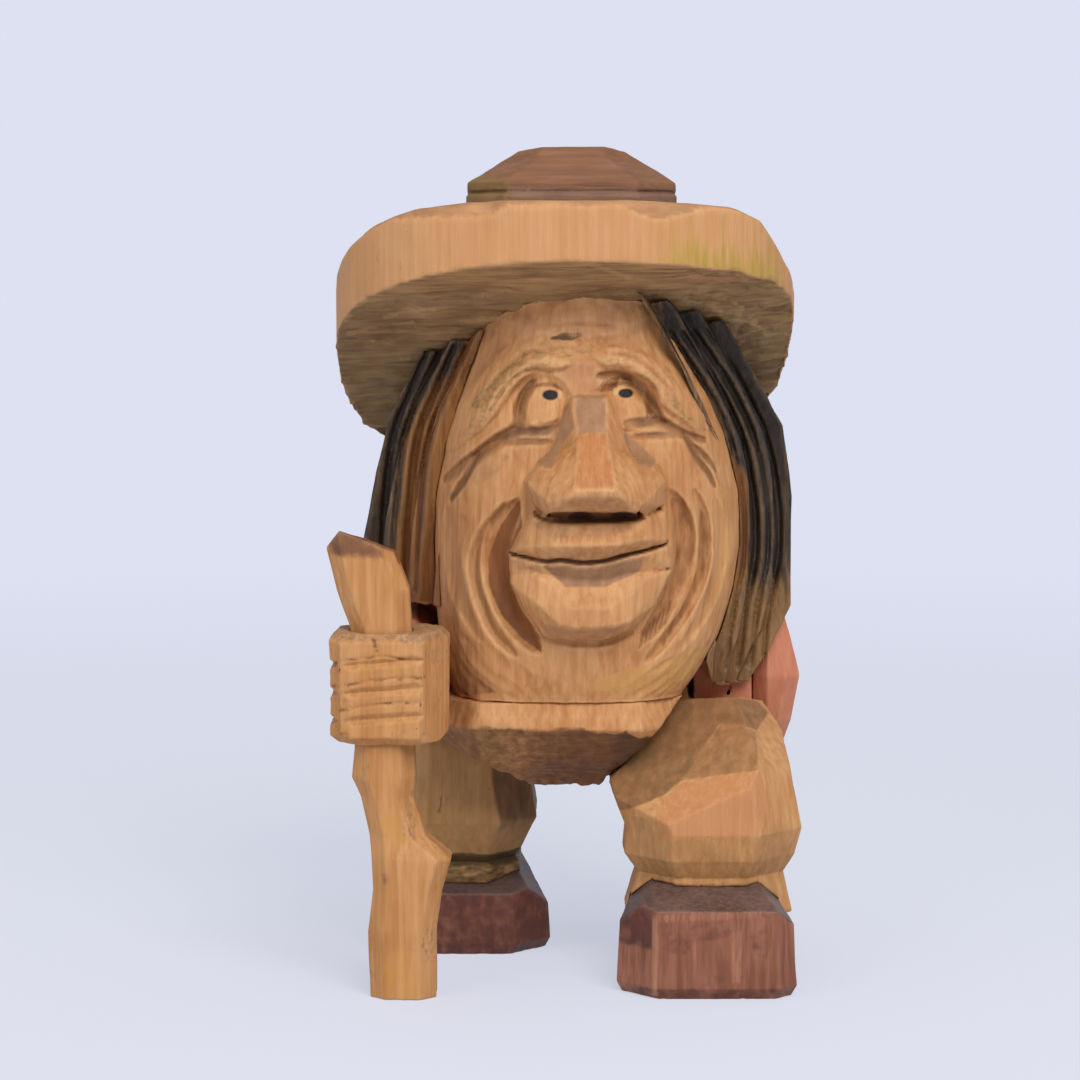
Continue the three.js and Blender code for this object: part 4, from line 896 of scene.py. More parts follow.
    def chip(self, chisel: Chisel, where: Array, heading: Array) -> None:
        """Scatters short flat cuts over part of the surface.

        Args:
            chisel: the cuts.
            where: the share of each cut's depth at each point.
            heading: the cuts' direction, one for all or one for each point.
        """
        spots = np.flatnonzero(where > 0.5)
        if not len(spots):
            return
        draw = np.random.default_rng(chisel.seed)
        headings = np.broadcast_to(heading, self.points.shape)
        shift = np.zeros(len(self.points))
        for index in draw.choice(spots, chisel.count):
            length, half, depth = (draw.uniform(*limits) for limits in (chisel.length, chisel.half, chisel.depth))
            swing = draw.normal(0.0, chisel.swing)
            normal = self.normals[index]
            along = headings[index] - normal * (headings[index] @ normal)
            along /= max(np.linalg.norm(along), TINY)
            across = np.cross(normal, along)
            along, across = (along * math.cos(swing) + across * math.sin(swing),
                             across * math.cos(swing) - along * math.sin(swing))
            local = self.points - self.points[index]
            far = local @ along / length + 0.5
            wide = local @ across / half
            inside = (far > 0) & (far < 1) & (np.abs(wide) < 1) & (np.abs(local @ normal) < CHIP_REACH)
            far, wide = far[inside], wide[inside]
            cut = depth * (1.0 - wide ** 2) * np.minimum(1.0, CHIP_END * (1.0 - far)) * far ** 0.5
            shift[inside] = np.maximum(shift[inside], cut)
        self.points -= self.normals * (shift * where)[:, None]
        self.settle()

    def roughen(self, bumps: Bumps, where: Array | float = 1.0) -> None:
        """Raises and lowers the surface a little at random.

        Args:
            bumps: the unevenness.
            where: the share of its height at each point.
        """
        height = bumps.height * where * speckle(self.points, bumps.size, bumps.seed)
        self.points += self.normals * height[:, None]
        self.settle()

    def finish(self, wood: CarvedWood, slot: str, edge: float = 0.5, hollow: float = 0.7) -> None:
        """Writes the masks, keeps the block inside the CAD box and dresses it.

        Args:
            wood: the finish.
            slot: not used.
            edge: how strongly edges wear.
            hollow: how strongly hollows darken.
        """
        low, high = (np.array(corner) / MM for corner in CAD_BOX)
        # At the floor, where the box begins at 0, the block needs no margin
        self.points = np.clip(self.points, low + BOX_MARGIN * (low < -1), high - BOX_MARGIN)
        self.settle()
        bend = self.mean(self.mean(np.clip(self.bend(), -BEND_LIMIT, BEND_LIMIT)))
        broad = bend
        for _ in range(BROAD_ROUNDS):
            broad = self.mean(broad)
        self.masks["worn"] = edge * (-WEAR_GAIN * bend - WEAR_START)
        # Hollows and cut strokes get dirt and painted shade
        sunk = hollow * np.maximum(FINE_GAIN * bend, BROAD_GAIN * broad) - HOLLOW_START
        self.masks["hollow"] = np.maximum(sunk, self.dark)
        mesh = self.piece.data
        for name in sorted({coat.mask for coat in wood.coats} | {"worn", "hollow"}):
            layer = mesh.attributes.new(name, "FLOAT", "POINT")
            mask = np.clip(self.masks.get(name, np.zeros(len(self.points))), 0.0, 1.0)
            layer.data.foreach_set("value", mask.astype(np.float32))
        mesh.materials.append(material_for(wood))
        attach(self.piece, BODY)
        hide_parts(self.node)
        LOG.info("%s: %d faces, %s", self.piece.name, len(mesh.polygons), wood.name)


@dataclass
class Hat:
    """The crown and the drooping brim. Sizes are in millimetres."""

    brim_spacing: float = 1.1
    crown_spacing: float = 0.95
    brim_rounds: int = 14
    under_slope: Place = (0.3, 0.65)
    top_slope: Place = (0.45, 0.8)
    front_top: float = 140.5
    front_bow: float = 0.0000016
    chamfer_slope: float = 0.75
    rim_foot: float = 126.5
    rim_tilt: float = 0.12
    band_top: Place = (143.2, 142.4)
    chamfer: tuple[Place, ...] = (
        (-36, 1.2), (-31, 2.0), (-25.6, 2.5), (-18, 3.0), (-13.8, 2.8), (-10.7, 1.1), (-1.2, 0.9), (8.3, 0.9),
        (11.5, 2.5), (15.2, 3.5), (19.4, 2.3), (24, 0.9), (34, 0.7),
    )
    strip_edge: tuple[Place, ...] = (
        (-33, -20.7), (-22.6, -22.7), (-14, -23.8), (-3.2, -24.4), (4.3, -24.2), (15, -21.6),
    )
    # Half width and path of each pale scratch under the brim
    scratches: tuple[tuple[float, tuple[Place, ...]], ...] = (
        (0.5, ((2, 130.1), (6.3, 128.5), (10.1, 127))),
        (0.42, ((-19.7, 118.2), (-14.2, 118.8), (-10.8, 119.7), (-5.4, 120.7), (0.8, 121.8))),
        (0.34, ((-40.2, 116.3), (-34.1, 117.3), (-28.5, 118.2))),
        (0.3, ((-33, 119.6), (-27, 120.8), (-22, 121.4))),
        (0.34, ((20, 122.5), (25, 121.2), (31, 119))),
        (0.34, ((24, 118.5), (29, 116.2), (33, 112.5))),
        (0.28, ((26, 121.5), (28.5, 117), (30.5, 113.5))),
        (0.28, ((22, 117.5), (27, 118.4), (34, 117.8))),
        (0.3, ((29, 122.4), (33, 118.4), (36.5, 115))),
    )
    gouging: Chisel = Chisel(300, (8, 22), (0.9, 2.0), (0.4, 1.1), 0.2, 11)
    tearing: Chisel = Chisel(140, (3, 8), (0.6, 1.1), (0.4, 0.9), 0.9, 15)
    facets: Chisel = Chisel(60, (10, 20), (3, 5.5), (0.2, 0.4), 0.6, 12)
    rim_bumps: Bumps = Bumps(0.12, (3.0, 3.0, 8.0), 13)
    under_bumps: Bumps = Bumps(0.4, (5.0, 1.1, 1.1), 14)
    crown_bumps: tuple[Bumps, ...] = (Bumps(0.12, (6.0, 4.0, 2.5), 23), Bumps(0.06, (3.0, 1.5, 0.7), 24))

    def brim(self) -> None:
        """Shapes the brim: sawn rim, chamfered top edge, gouged underside."""
        block = Block("hat_brim", self.brim_spacing)
        block.relax(self.brim_rounds, keep=True)
        under = ease(*self.under_slope, -block.normals[:, 2])
        top = ease(*self.top_slope, block.normals[:, 2])
        front = ease(-8, -18, block.y)
        crest = self.front_top - self.front_bow * np.abs(block.x) ** 4
        cut = np.clip(block.z - (crest - level(self.chamfer, block.x)), 0.0, None) * front
        chamfered = ease(0.0, 0.5, cut) * (1 - under)
        block.points[:, 1] += self.chamfer_slope * cut
        block.settle()
        strip = ease(0.8, -0.8, block.y - level(self.strip_edge, block.x)) * under
        block.masks["olive"] = under * (1.0 - 0.3 * strip)
        block.masks["umber"] = np.maximum(top, 0.7 * chamfered)
        low_edge = ease(9.0, 1.0, block.z - self.rim_foot - self.rim_tilt * (24 - block.x))
        stain = ease(11, 20, block.x) * ease(41, 34, block.x) * (0.3 + 0.7 * low_edge) * front
        block.masks["moss"] = 0.85 * stain * (1 - top) * (1 - under)
        split = np.zeros(len(block.points))
        for half, path in self.scratches:
            away, _ = off_path(smooth_path(path), block.view)
            split = np.maximum(split, ease(half + 0.2, 0.1, np.abs(away)) * under * ease(4, 0, block.y))
        block.masks["split"] = split
        block.chip(self.gouging, under * (1 - 0.8 * strip), X_AXIS)
        right_end = under * ease(16, 24, block.x) * ease(10, 0, block.y)
        block.chip(self.tearing, right_end, X_AXIS)
        block.chip(self.facets, top, X_AXIS)
        block.roughen(self.rim_bumps, 1 - under)
        block.roughen(self.under_bumps, under * (1 - 0.5 * strip))
        block.finish(BRIM_WOOD, "bare_wood", hollow=1.0)

    def crown(self) -> None:
        """Shapes the crown: eight facets over a groove and a grey strip."""
        block = Block("hat_crown", self.crown_spacing)
        block.relax(1, 0.4)
        block.masks["umber"] = 0.5 + 0.4 * speckle(block.points, (12.0, 6.0, 2.5), 21)
        block.masks["smoke"] = ease(*self.band_top, block.z)
        block.masks["olive"] = 0.9 * ease(-8, -14, block.x) * ease(147, 143, block.z)
        for bumps in self.crown_bumps:
            block.roughen(bumps)
        block.finish(CROWN_WOOD, "stained_hat_wood")

    def build(self) -> None:
        """Builds both pieces."""
        self.brim()
        self.crown()


# Nose, lips and chin as the knife left them: bridge, tip, wings, upper lip, lower lip, chin ball
FACE_LUMPS = (
    Lump(((0.4, 106.3, 24.7), (6.4, 106.5, 24.7), (1.2, 99.8, 28.6), (6.3, 100, 28.6), (1, 94, 31), (6.6, 94, 31),
          (-1.8, 104.3, 19.5), (-3.4, 97.2, 24), (-4.2, 90, 25), (7.8, 104.2, 20), (9.8, 98.6, 24.4), (11.8, 91, 25))),
    Lump(((1.3, 100, 28.7), (6.3, 100.2, 28.7), (0.4, 90.9, 38.8), (7.8, 91, 38.8), (-0.7, 89.6, 38.5),
          (8.7, 89.7, 38.3), (-3.6, 87, 35), (11.4, 86.8, 34.6), (-3.8, 85.4, 27), (11.5, 85.4, 27), (-3, 95, 25.5),
          (9.5, 95, 27))),
    Lump(((1.1, 97.4, 31.2), (0.4, 90.9, 38.6), (-0.7, 89.6, 38.3), (-4.3, 88.6, 34.6), (-8, 91.3, 27.6),
          (-6.3, 93.8, 27.2), (-3.4, 96.6, 26.4), (-6.9, 87.8, 26.5), (-4.6, 85.2, 28), (-3.6, 87, 34.8))),
    Lump(((6.6, 97.8, 31), (7.8, 91, 38.6), (8.7, 89.7, 38.1), (12.6, 88.2, 33.8), (16.6, 91.6, 26.6),
          (15.6, 93.9, 25), (13.2, 93.3, 28.6), (9.2, 94.2, 32.6), (16.4, 87.2, 25.6), (13, 85.2, 28),
          (11.4, 86.8, 34.4))),
    Lump(((-10, 79.6, 25.6), (-8, 80.6, 28), (-3.8, 81.7, 32.2), (3.2, 82.1, 33.6), (7.9, 82.1, 33.4),
          (12.6, 83.9, 30.8), (16.9, 83.2, 26), (-8.5, 79.8, 28), (-3.6, 80.6, 32.6), (3.2, 80.8, 34),
          (8.2, 80.9, 33.8), (13.5, 81.6, 30.4), (17, 81, 26), (-6.9, 85.6, 28), (-2, 84.9, 31.2), (4.8, 84.8, 32),
          (12.6, 85.2, 30), (16.8, 86.2, 25), (-10.4, 78.6, 25), (-4.6, 77.7, 29.8), (1.7, 77.6, 31),
          (5.6, 77.8, 31), (9.5, 78.8, 30), (13, 79.4, 28.2), (17, 80.2, 25.2))),
    Lump(((-10.8, 78.2, 24.8), (-4.6, 77.5, 30), (1.7, 77.4, 31.3), (5.6, 77.6, 31.3), (9.5, 78.4, 30.6),
          (13, 79.1, 29), (17.3, 80, 25.6), (-10.9, 75.5, 24.6), (-5, 75.6, 28.4), (0, 73, 28.2), (6, 73, 28.2),
          (12, 75, 27.4), (17.9, 76, 24.4))),
    Lump(((-10.9, 77, 24.4), (-10.6, 73, 25.2), (-8.2, 68.6, 26), (-5.3, 65.2, 26.4), (-4.6, 63.4, 25.6),
          (0.9, 63, 26.2), (6, 63.1, 26.2), (10.6, 64.6, 25.6), (15, 69.4, 25.4), (18, 75.4, 24.2), (-5.5, 74.6, 29),
          (-1, 73, 29.2), (6, 73, 29.2), (11.8, 75.1, 28.4), (-6, 70, 29.6), (-2, 66.6, 30.4), (0.9, 66, 30.8),
          (8, 66.4, 30.6), (10.3, 67, 30), (11, 72, 29.6), (13.5, 74.5, 27.8), (0, 69.5, 31.2), (6.5, 69.5, 31.2))),
)

BROW_STROKES = (
    # Brow rolls left standing over the eyes, steep towards the lids
    Stroke(((-1.5, 111.6), (-6.5, 112.2), (-10.8, 109.6), (-14.2, 104.8), (-17.8, 100.4), (-22, 96)), 4.8, -2.3,
           Tool.GOUGE, lean=0.5),
    Stroke(((23.4, 100.2), (18.6, 104.6), (15.4, 108.6), (10.5, 112.2), (5.2, 112.4)), 4.6, -2.1, Tool.GOUGE, lean=0.5),
    # Wrinkles across the brows
    Stroke(((-2, 113.4), (-7, 114), (-11.6, 110.8), (-15.4, 106.2)), 0.7, 0.7, dark=0.25),
    Stroke(((-3, 110.2), (-7.6, 110.6), (-11.6, 107.6), (-14.6, 103)), 0.6, 0.6, dark=0.2),
    Stroke(((5.6, 113.8), (10.4, 113.4), (14.6, 110.6), (18, 107)), 0.7, 0.6, dark=0.2),
    Stroke(((-3.6, 118.6), (2, 119), (8, 118.4)), 0.6, 0.4, dark=0.15),
    # Upper limit of the brows
    Stroke(((1.5, 115.6), (-4.5, 115.8), (-10.1, 113.2), (-14.9, 108.4), (-18.4, 103.4)), 1.7, 0.8, lean=1.5),
    Stroke(((0.9, 115.6), (7.3, 115.4), (12.8, 113.9), (16.1, 111.4), (18.4, 109)), 1.6, 0.7),
)

FOLD_STROKES = (
    # Folds that run from the eyes down over the cheeks, with dirt and painted shade in their creases
    Stroke(((-6.7, 108.6), (-8.5, 106), (-9.4, 103.5), (-9.8, 100.5), (-13.1, 98.2), (-16.3, 95.7), (-19.4, 93.3),
            (-22.7, 90.2)), 1.2, 2.0, dark=0.55, taper=0.5, lean=1.7),
    Stroke(((-16.2, 95.4), (-17.7, 92.8), (-19.2, 90.1), (-21.4, 86.6)), 1.2, 1.6, dark=0.75, lean=0.6),
    Stroke(((4.9, 109.9), (8.8, 110), (11.4, 108.3), (13.6, 105.9), (15.2, 103.5), (16.4, 101.6), (20.1, 99.4),
            (24, 97.9)), 1.8, 1.9, dark=0.55, taper=0.5, lean=0.55),
    Stroke(((19.9, 99), (22.6, 96.3), (25.1, 93.7), (26.1, 92)), 0.8, 1.1, dark=0.6),
    Stroke(((20.3, 98.4), (22.5, 94.9), (24.6, 92), (25.9, 89.4)), 0.9, 1.3, dark=0.7),
    # Upper lids, with painted shade under them
    Stroke(((-8, 106.9), (-5.6, 108), (-3.4, 108), (-1.4, 107)), 0.5, 0.8, dark=0.6),
    Stroke(((6.9, 107.8), (9.2, 108.3), (11.2, 107.8), (12.8, 106.4)), 0.5, 0.8, dark=0.6),
    # Lower lids and bags, with painted shade in their creases
    Stroke(((-1.8, 101.6), (-4.6, 100.4), (-8.1, 99.8), (-10, 100)), 1.3, 1.3, dark=0.4),
    Stroke(((-3.4, 98.1), (-7.7, 98.1), (-10.9, 97.8), (-13.7, 97.6)), 0.9, 0.9, dark=0.45),
    Stroke(((9.4, 101.3), (12, 101.4), (14.4, 101.4), (17, 101.4)), 1.1, 1.3, Tool.GOUGE, dark=0.3),
    Stroke(((10.8, 99), (15.2, 99.1), (20.1, 99)), 0.9, 0.8, dark=0.4),
    # Smile folds in rings
    Stroke(((-22, 84.5), (-21.6, 79.5), (-20.8, 73.5), (-19, 67.6), (-16, 62.4)), 1.7, 0.9, Tool.GOUGE),
    Stroke(((-11.7, 86.9), (-15.9, 80.8), (-17.2, 75), (-16, 69.2), (-13.6, 63.8), (-9.8, 60)), 1.4, 1.6,
           dark=0.35, lean=1.3),
    Stroke(((-9.4, 87.4), (-12.4, 82.2), (-13.3, 77.3), (-13, 72.8), (-11.2, 68.4), (-8.8, 64.6), (-5.8, 61)),
           2.7, 3.2, Tool.GOUGE, dark=0.12, taper=0.3),
    Stroke(((17.6, 89), (19.7, 84.4), (20.3, 79), (19.6, 73.6), (16.8, 68), (13, 63)), 2.5, 2.7, Tool.GOUGE, taper=0.3),
    Stroke(((22, 89), (23.6, 84.4), (23.9, 78.6), (22.9, 73), (20.2, 67.6), (16.2, 61.8), (13.6, 59)), 1.6, 2.1,
           Tool.GOUGE, taper=0.3),
    Stroke(((26, 87), (27, 80.6), (26.4, 73.4), (23.8, 66.8), (19.8, 60.8)), 1.5, 1.0, Tool.GOUGE),
) + tuple(
    # Torn end of the right smile fold
    Stroke(((12.2 + 0.9 * k, 61.2 + 0.8 * k), (13.3 + 0.9 * k, 64.8 + 0.9 * k)), 0.35, 0.45, dark=0.55)
    for k in range(6)
)

MOUTH_STROKES = (
    # Gap under the nose, mouth and the crease under the chin, with painted shade in them, near black in the gap and the
    # mouth
    Stroke(((-6.4, 85.6), (-4.6, 85), (-1.1, 84.8), (4.8, 84.9), (12.8, 85.1)), 0.6, 1.6, dark=1.0, taper=0.5),
    Stroke(((-10.9, 78.3), (-8.1, 78), (-4.6, 77.6), (-1.5, 77.9), (1.7, 77.5), (5.6, 77.8), (9.5, 78.7), (13, 79.3),
            (17.1, 80.2)), 0.6, 1.8, dark=1.0, taper=0.5),
    Stroke(((-4.8, 63.2), (0.9, 62.5), (6.8, 62.7), (11, 64.2)), 1.0, 0.7, Tool.GOUGE, dark=0.25),
)

FACE_TINTS = (
    # Painted shade in grey-brown, over a grey wash: the nose's bridge and sides, under the eyes and on the lips' facets
    Tint("smoke", 0.8, ((0.4, 106.4), (6.2, 106.6), (6.3, 100), (1.2, 99.8))),
    Tint("smoke", 0.75, ((0, 105.5), (-1.4, 104), (-3, 98), (-6.3, 94.3), (-3.4, 93.8), (-1.8, 97), (0.6, 101))),
    Tint("smoke", 0.75, ((9.4, 100.4), (12, 98), (15.4, 94.6), (14, 93.8), (12, 94.2), (10.3, 96.4), (9.2, 98.8))),
    Tint("smoke", 0.3, ((12.8, 87.8), (16.6, 90), (16.4, 86.8), (13, 85))),
    Tint("smoke", 0.25, ((-8, 91), (-4.4, 88.4), (-3.8, 86.8), (-4.8, 85), (-7, 87.6))),
    Tint("smoke", 0.85, ((-5, 76.6), (-1, 73), (6, 73), (12, 75.5), (13, 78.6), (3, 77.4), (-4, 77.6))),
    Tint("smoke", 0.5, ((-10.8, 78), (-5, 77.4), (-5, 75.4), (-10.6, 74.6))),
    Tint("smoke", 0.5, ((-7.5, 84.6), (-4, 81.8), (7.9, 82.3), (12.6, 84.6), (-5, 84.8))),
    Tint("smoke", 0.42, ((-10, 79), (-4, 80), (9, 79.8), (15, 81), (9, 78.6), (2, 77.8), (-4.6, 77.9))),
    Tint("smoke", 0.8, ((-10.2, 100.2), (-2.2, 101.3), (-2.4, 99.2), (-8, 98.6), (-13.6, 97.9))),
    Tint("smoke", 0.6, ((-13.2, 97.5), (-8, 98.2), (-3.6, 98.3), (-5, 97.2))),
    Tint("smoke", 0.8, ((9.6, 101.2), (12, 102), (15, 102), (17, 101.3), (13, 100.6))),
    Tint("smoke", 0.55, ((12, 99.6), (19, 99.8), (16, 98.6), (12.5, 98.4))),
    Tint("smoke", 0.45, ((-18.5, 92), (-15, 97), (-10.5, 95.5), (-13, 92), (-17, 89.5))),
    # Painted shadow of the brim on the forehead, and painted shade on the chin's underside and the nose tip's lower
    # bevel, over a pink-grey wash
    Tint("blush", 0.45, ((-17, 108), (-19.5, 117), (-8, 121), (14, 123), (16, 118), (8, 115.5), (-4, 117), (-10, 114))),
    Tint("blush", 0.6, ((-5, 66.5), (1, 65.6), (9.5, 66.3), (9.5, 64), (1, 63), (-4.6, 63.6))),
    Tint("blush", 0.45, ((-4, 90.2), (9, 90.2), (11.4, 86.8), (-3.6, 87))),
    # Painted shade in the hollows beside the right eye
    Tint("umber", 0.8, ((12.8, 105.8), (15.9, 102), (13.4, 101.9))),
    Tint("umber", 0.85, ((4.1, 107.2), (6.1, 109.3), (8.6, 109.4), (8.1, 107), (5.5, 106.7))),
    # Brown end grain with painted shade in the floors of the smile folds
    Tint("umber", 1.0, ((-9, 88), (-12.6, 82.8), (-14.8, 76.8), (-14.6, 72), (-12.4, 67), (-8.4, 62.6), (-5, 60.4),
                        (-5.4, 63.4), (-8.6, 68.2), (-10.6, 72.4), (-11, 78), (-8.6, 83))),
    Tint("umber", 0.55, ((17.6, 88), (20, 88), (22, 84), (22.2, 78), (20.6, 72.6), (17.6, 67.4), (13.4, 62.6), (12, 64),
                         (15.2, 69), (18, 75))),
    Tint("umber", 0.6, ((23, 86), (24.6, 84), (25, 78), (23.8, 73), (20.6, 67), (16.4, 61), (15.6, 62.4),
                        (19.6, 68), (22.6, 75))),
    # Painted shadow of the fist on the jaw, over a brown stain
    Tint("umber", 0.55, ((-24, 64), (-20, 58), (-13, 53), (-21, 51), (-26, 56))),
    Tint("olive", 0.65, ((-18, 104), (-14, 109), (-9, 112.5), (-9, 110), (-13, 105.6), (-16, 102.6))),
    Tint("olive", 0.4, ((12, 110.5), (17, 111.5), (18.5, 109), (15, 108))),
    Tint("olive", 0.45, ((-9, 114), (-3, 115), (4, 115.4), (4, 113.6), (-3, 112.6), (-8, 112))),
    Tint("honey", 0.85, ((4, 55.5), (10, 57.6), (16, 58), (22, 61), (25, 60), (21, 55), (17.5, 52.5), (4, 53.6))),
    Tint("honey", 0.5, ((25, 92), (29, 88), (29.5, 76), (26, 64), (24, 66), (27, 78), (26.5, 86))),
    # Painted shade under the nose
    Tint("umber", 0.85, ((-3.4, 86.9), (11.2, 86.7), (12.4, 85.2), (-4.4, 85))),
    Tint("olive", 0.5, ((-20, 98), (-15, 106), (-10, 112.6), (-4, 114.4), (-3, 112), (-9, 109.6),
                        (-13, 104), (-18, 97))),
    Tint("olive", 0.42, ((5, 113.6), (11, 113.6), (16.4, 109), (22, 101.6), (20.6, 100.6), (15, 107),
                         (10, 111), (5, 111.6))),
    Tint("blush", 0.5, ((-2, 111), (-1.6, 106.6), (0.4, 106.4), (6.2, 106.6), (6.6, 110), (4, 113), (0, 113))),
    Tint("orange", 0.5, ((-3.4, 82.5), (8, 82.9), (12, 83.8), (8, 81.6), (-3.4, 81.3))),
    Tint("orange", 0.75, ((1.2, 99.6), (6.3, 99.8), (7.6, 91), (0.6, 91))),
)


@dataclass
class Head:
    """The egg-shaped head with its carved face. Sizes are in millimetres."""

    row_step: float = 0.34
    face_step: float = 0.33
    back_step: float = 1.4
    face_end: float = 1.0
    middle: float = 3.25
    depth_middle: float = 2.75
    base: float = 51.5
    widest: float = 30.0
    back: float = 16.75
    bury: float = 0.8
    foot: float = 0.35
    samples: int = 4000
    row_samples: int = 161
    row_blur: int = 7
    first_top: float = 120.0
    top_rounds: int = 8
    # Level above the base, shift, half width, front, back and squareness
    rows: tuple[tuple[float, ...], ...] = (
        (0, -3.6, 21.4, 24.4, 24, 3.4), (4.5, -2.6, 23.8, 26, 26, 3.1), (10, -1.5, 25.8, 27, 27, 2.8),
        (18, -0.5, 27.5, 27.8, 28, 2.5), (27, 0, 28.6, 28.2, 28, 2.3), (36, 0, 28.4, 28, 28, 2.25),
        (45, 0, 26.6, 27.2, 28, 2.25), (53, 0, 24.4, 26.2, 28, 2.25), (61, 0, 21.8, 24.6, 28, 2.25),
        (69, 0, 19.6, 23, 28, 2.25), (80, 0, 17, 20, 28, 2.25),
    )
    hat_under: tuple[Place, ...] = (
        (-33, 129.4), (-25, 125.7), (-20, 123.2), (-15, 120.6), (-10, 118), (0, 112.5), (10, 106.6), (17, 102.2),
    )
    eyes: tuple[Place, ...] = ((-5.2, 104.4), (10.3, 104.6))
    socket: Triple = (5.4, 4.7, 1.8)
    socket_lift: float = 1.0
    socket_power: float = 0.6
    socket_shade: float = 0.2
    shaded_depths: Place = (0.6, 2.0)
    ball: Triple = (3.6, 4.4, 1.7)
    nostrils: tuple[Place, ...] = ((1.7, 85.3), (9.1, 85.3))
    nostril_radii: Place = (2.4, 1.7)
    nostril_foot: float = 0.3
    tip_front: float = -24.0
    knot: Place = (-0.4, 116.6)
    knot_radii: Place = (3.4, 1.0)
    knot_tilt: float = 0.1
    skin_facing: Place = (0.2, 0.5)
    cheek_cuts: Chisel = Chisel(110, (8, 18), (1.6, 3.4), (0.2, 0.5), 0.3, 31)
    cheek_centre: float = 80.0
    jaw_cuts: Chisel = Chisel(130, (8, 20), (0.8, 2.0), (0.2, 0.5), 0.12, 34)
    jaw_centre: float = 48.0
    forehead_cuts: Chisel = Chisel(60, (4, 9), (1.2, 2.6), (0.2, 0.5), 0.4, 35)
    skin_bumps: Bumps = Bumps(0.09, (1.1, 1.1, 2.2), 32)

    def row(self, z: Array) -> Array:
        """Reads the egg's smoothed row values at heights.

        Args:
            z: the heights.

        Returns:
            For each row value, its size at the heights.
        """
        table = np.array(self.rows)
        steps = np.linspace(table[0, 0], table[-1, 0], self.row_samples)
        kernel = np.hanning(2 * self.row_blur + 1)
        kernel /= kernel.sum()
        found = []
        for column in table.T[1:]:
            line = np.pad(np.interp(steps, table[:, 0], column), self.row_blur, mode="reflect", reflect_type="odd")
            found.append(np.interp(z - self.base, steps, np.convolve(line, kernel, mode="valid")))
        return np.array(found)

    def ring(self, turn: Array, z: Array) -> tuple[Array, Array]:
        """Gives points of the uncut egg.

        Args:
            turn: the points' directions from the axis, in radians.
            z: their heights.

        Returns:
            Their places along x and y.
        """
        shift, half, front, back, power = self.row(z)
        reach = np.where(np.sin(turn) < 0, front, back)
        away = (np.abs(np.cos(turn)) / half) ** power + (np.abs(np.sin(turn)) / reach) ** power
        away = away ** (-1.0 / power)
        y = self.depth_middle + away * np.sin(turn)
        return self.middle + shift + away * np.cos(turn), np.minimum(y, self.back)

    def blank(self) -> bmesh.types.BMesh:
        """Turns the egg into an even mesh, fine at the face, that ends just inside the hat.

        Returns:
            The mesh in metres.
        """
        fine = np.linspace(-1.5 * np.pi, 0.5 * np.pi, self.samples)
        x, y = self.ring(fine, np.full(len(fine), self.base + self.widest))
        step = np.where(y[1:] < self.face_end, self.face_step, self.back_step) * coarser()
        passed = np.concatenate([[0.0], np.cumsum(np.hypot(np.diff(x), np.diff(y)) / step)])
        turns = np.interp(np.arange(int(passed[-1])), passed, fine)
        top = np.full(len(turns), self.first_top)
        for _ in range(self.top_rounds):
            top = level(self.hat_under, self.ring(turns, top)[1]) + self.bury
        count = int((top.max() - self.base) / (self.row_step * coarser())) + 1
        shape = bmesh.new()
        rings = []
        for share in np.linspace(0.0, 1.0, count):
            z = self.base - self.foot + share * (top - self.base + self.foot)
            x, y = self.ring(turns, z)
            rings.append([shape.verts.new(place) for place in np.column_stack([x, y, z]) * MM])
        shape.faces.new(rings[0])
        shape.faces.new(rings[-1])
        for low, high in zip(rings, rings[1:]):
            for k in range(len(low)):
                shape.faces.new((low[k - 1], low[k], high[k], high[k - 1]))
        bmesh.ops.recalc_face_normals(shape, faces=shape.faces)
        return shape

    def set_eyes(self, block: Block) -> None:
        """Hollows the eye sockets round upright eyeballs and paints shade into their deepest parts.

        Args:
            block: the head's fine mesh.
        """
        for x, z in self.eyes:
            hollow = np.hypot((block.x - x) / self.socket[0], (block.z - z - self.socket_lift) / self.socket[1])
            bulge = np.hypot((block.x - x) / self.ball[0], (block.z - z) / self.ball[1])
            pit = self.socket[2] * np.clip(1.0 - hollow ** 2, 0.0, 1.0) ** self.socket_power
            ball = self.ball[2] * np.sqrt(np.clip(1.0 - bulge ** 2, 0.0, 1.0))
            block.points[:, 1] += (pit - ball) * (block.facing > self.skin_facing[0])
            # Painted shade where the socket lies deepest
            block.dark = np.maximum(block.dark, self.socket_shade * ease(*self.shaded_depths, pit - ball))
        block.settle()

    def spots(self, block: Block) -> None:
        """Paints shade where the nostrils are and sets the knot in the forehead.

        Args:
            block: the head's fine mesh.
        """
        # The nostrils are painted shade, not cut holes
        for x, z in self.nostrils:
            away = np.hypot((block.x - x) / self.nostril_radii[0], (block.z - z) / self.nostril_radii[1])
            dark = ease(1.05, 0.85, away) * (block.z > z - self.nostril_foot) * (block.y < self.tip_front)
            block.dark = np.maximum(block.dark, 0.9 * dark)
        (x, z), (wide, high) = self.knot, self.knot_radii
        away = np.hypot((block.x - x) / wide, (block.z - z - self.knot_tilt * block.x) / high)
        block.masks["knot"] = ease(1.1, 0.6, away + 0.35 * speckle(block.points, (1.6, 1.6, 0.7), 33))

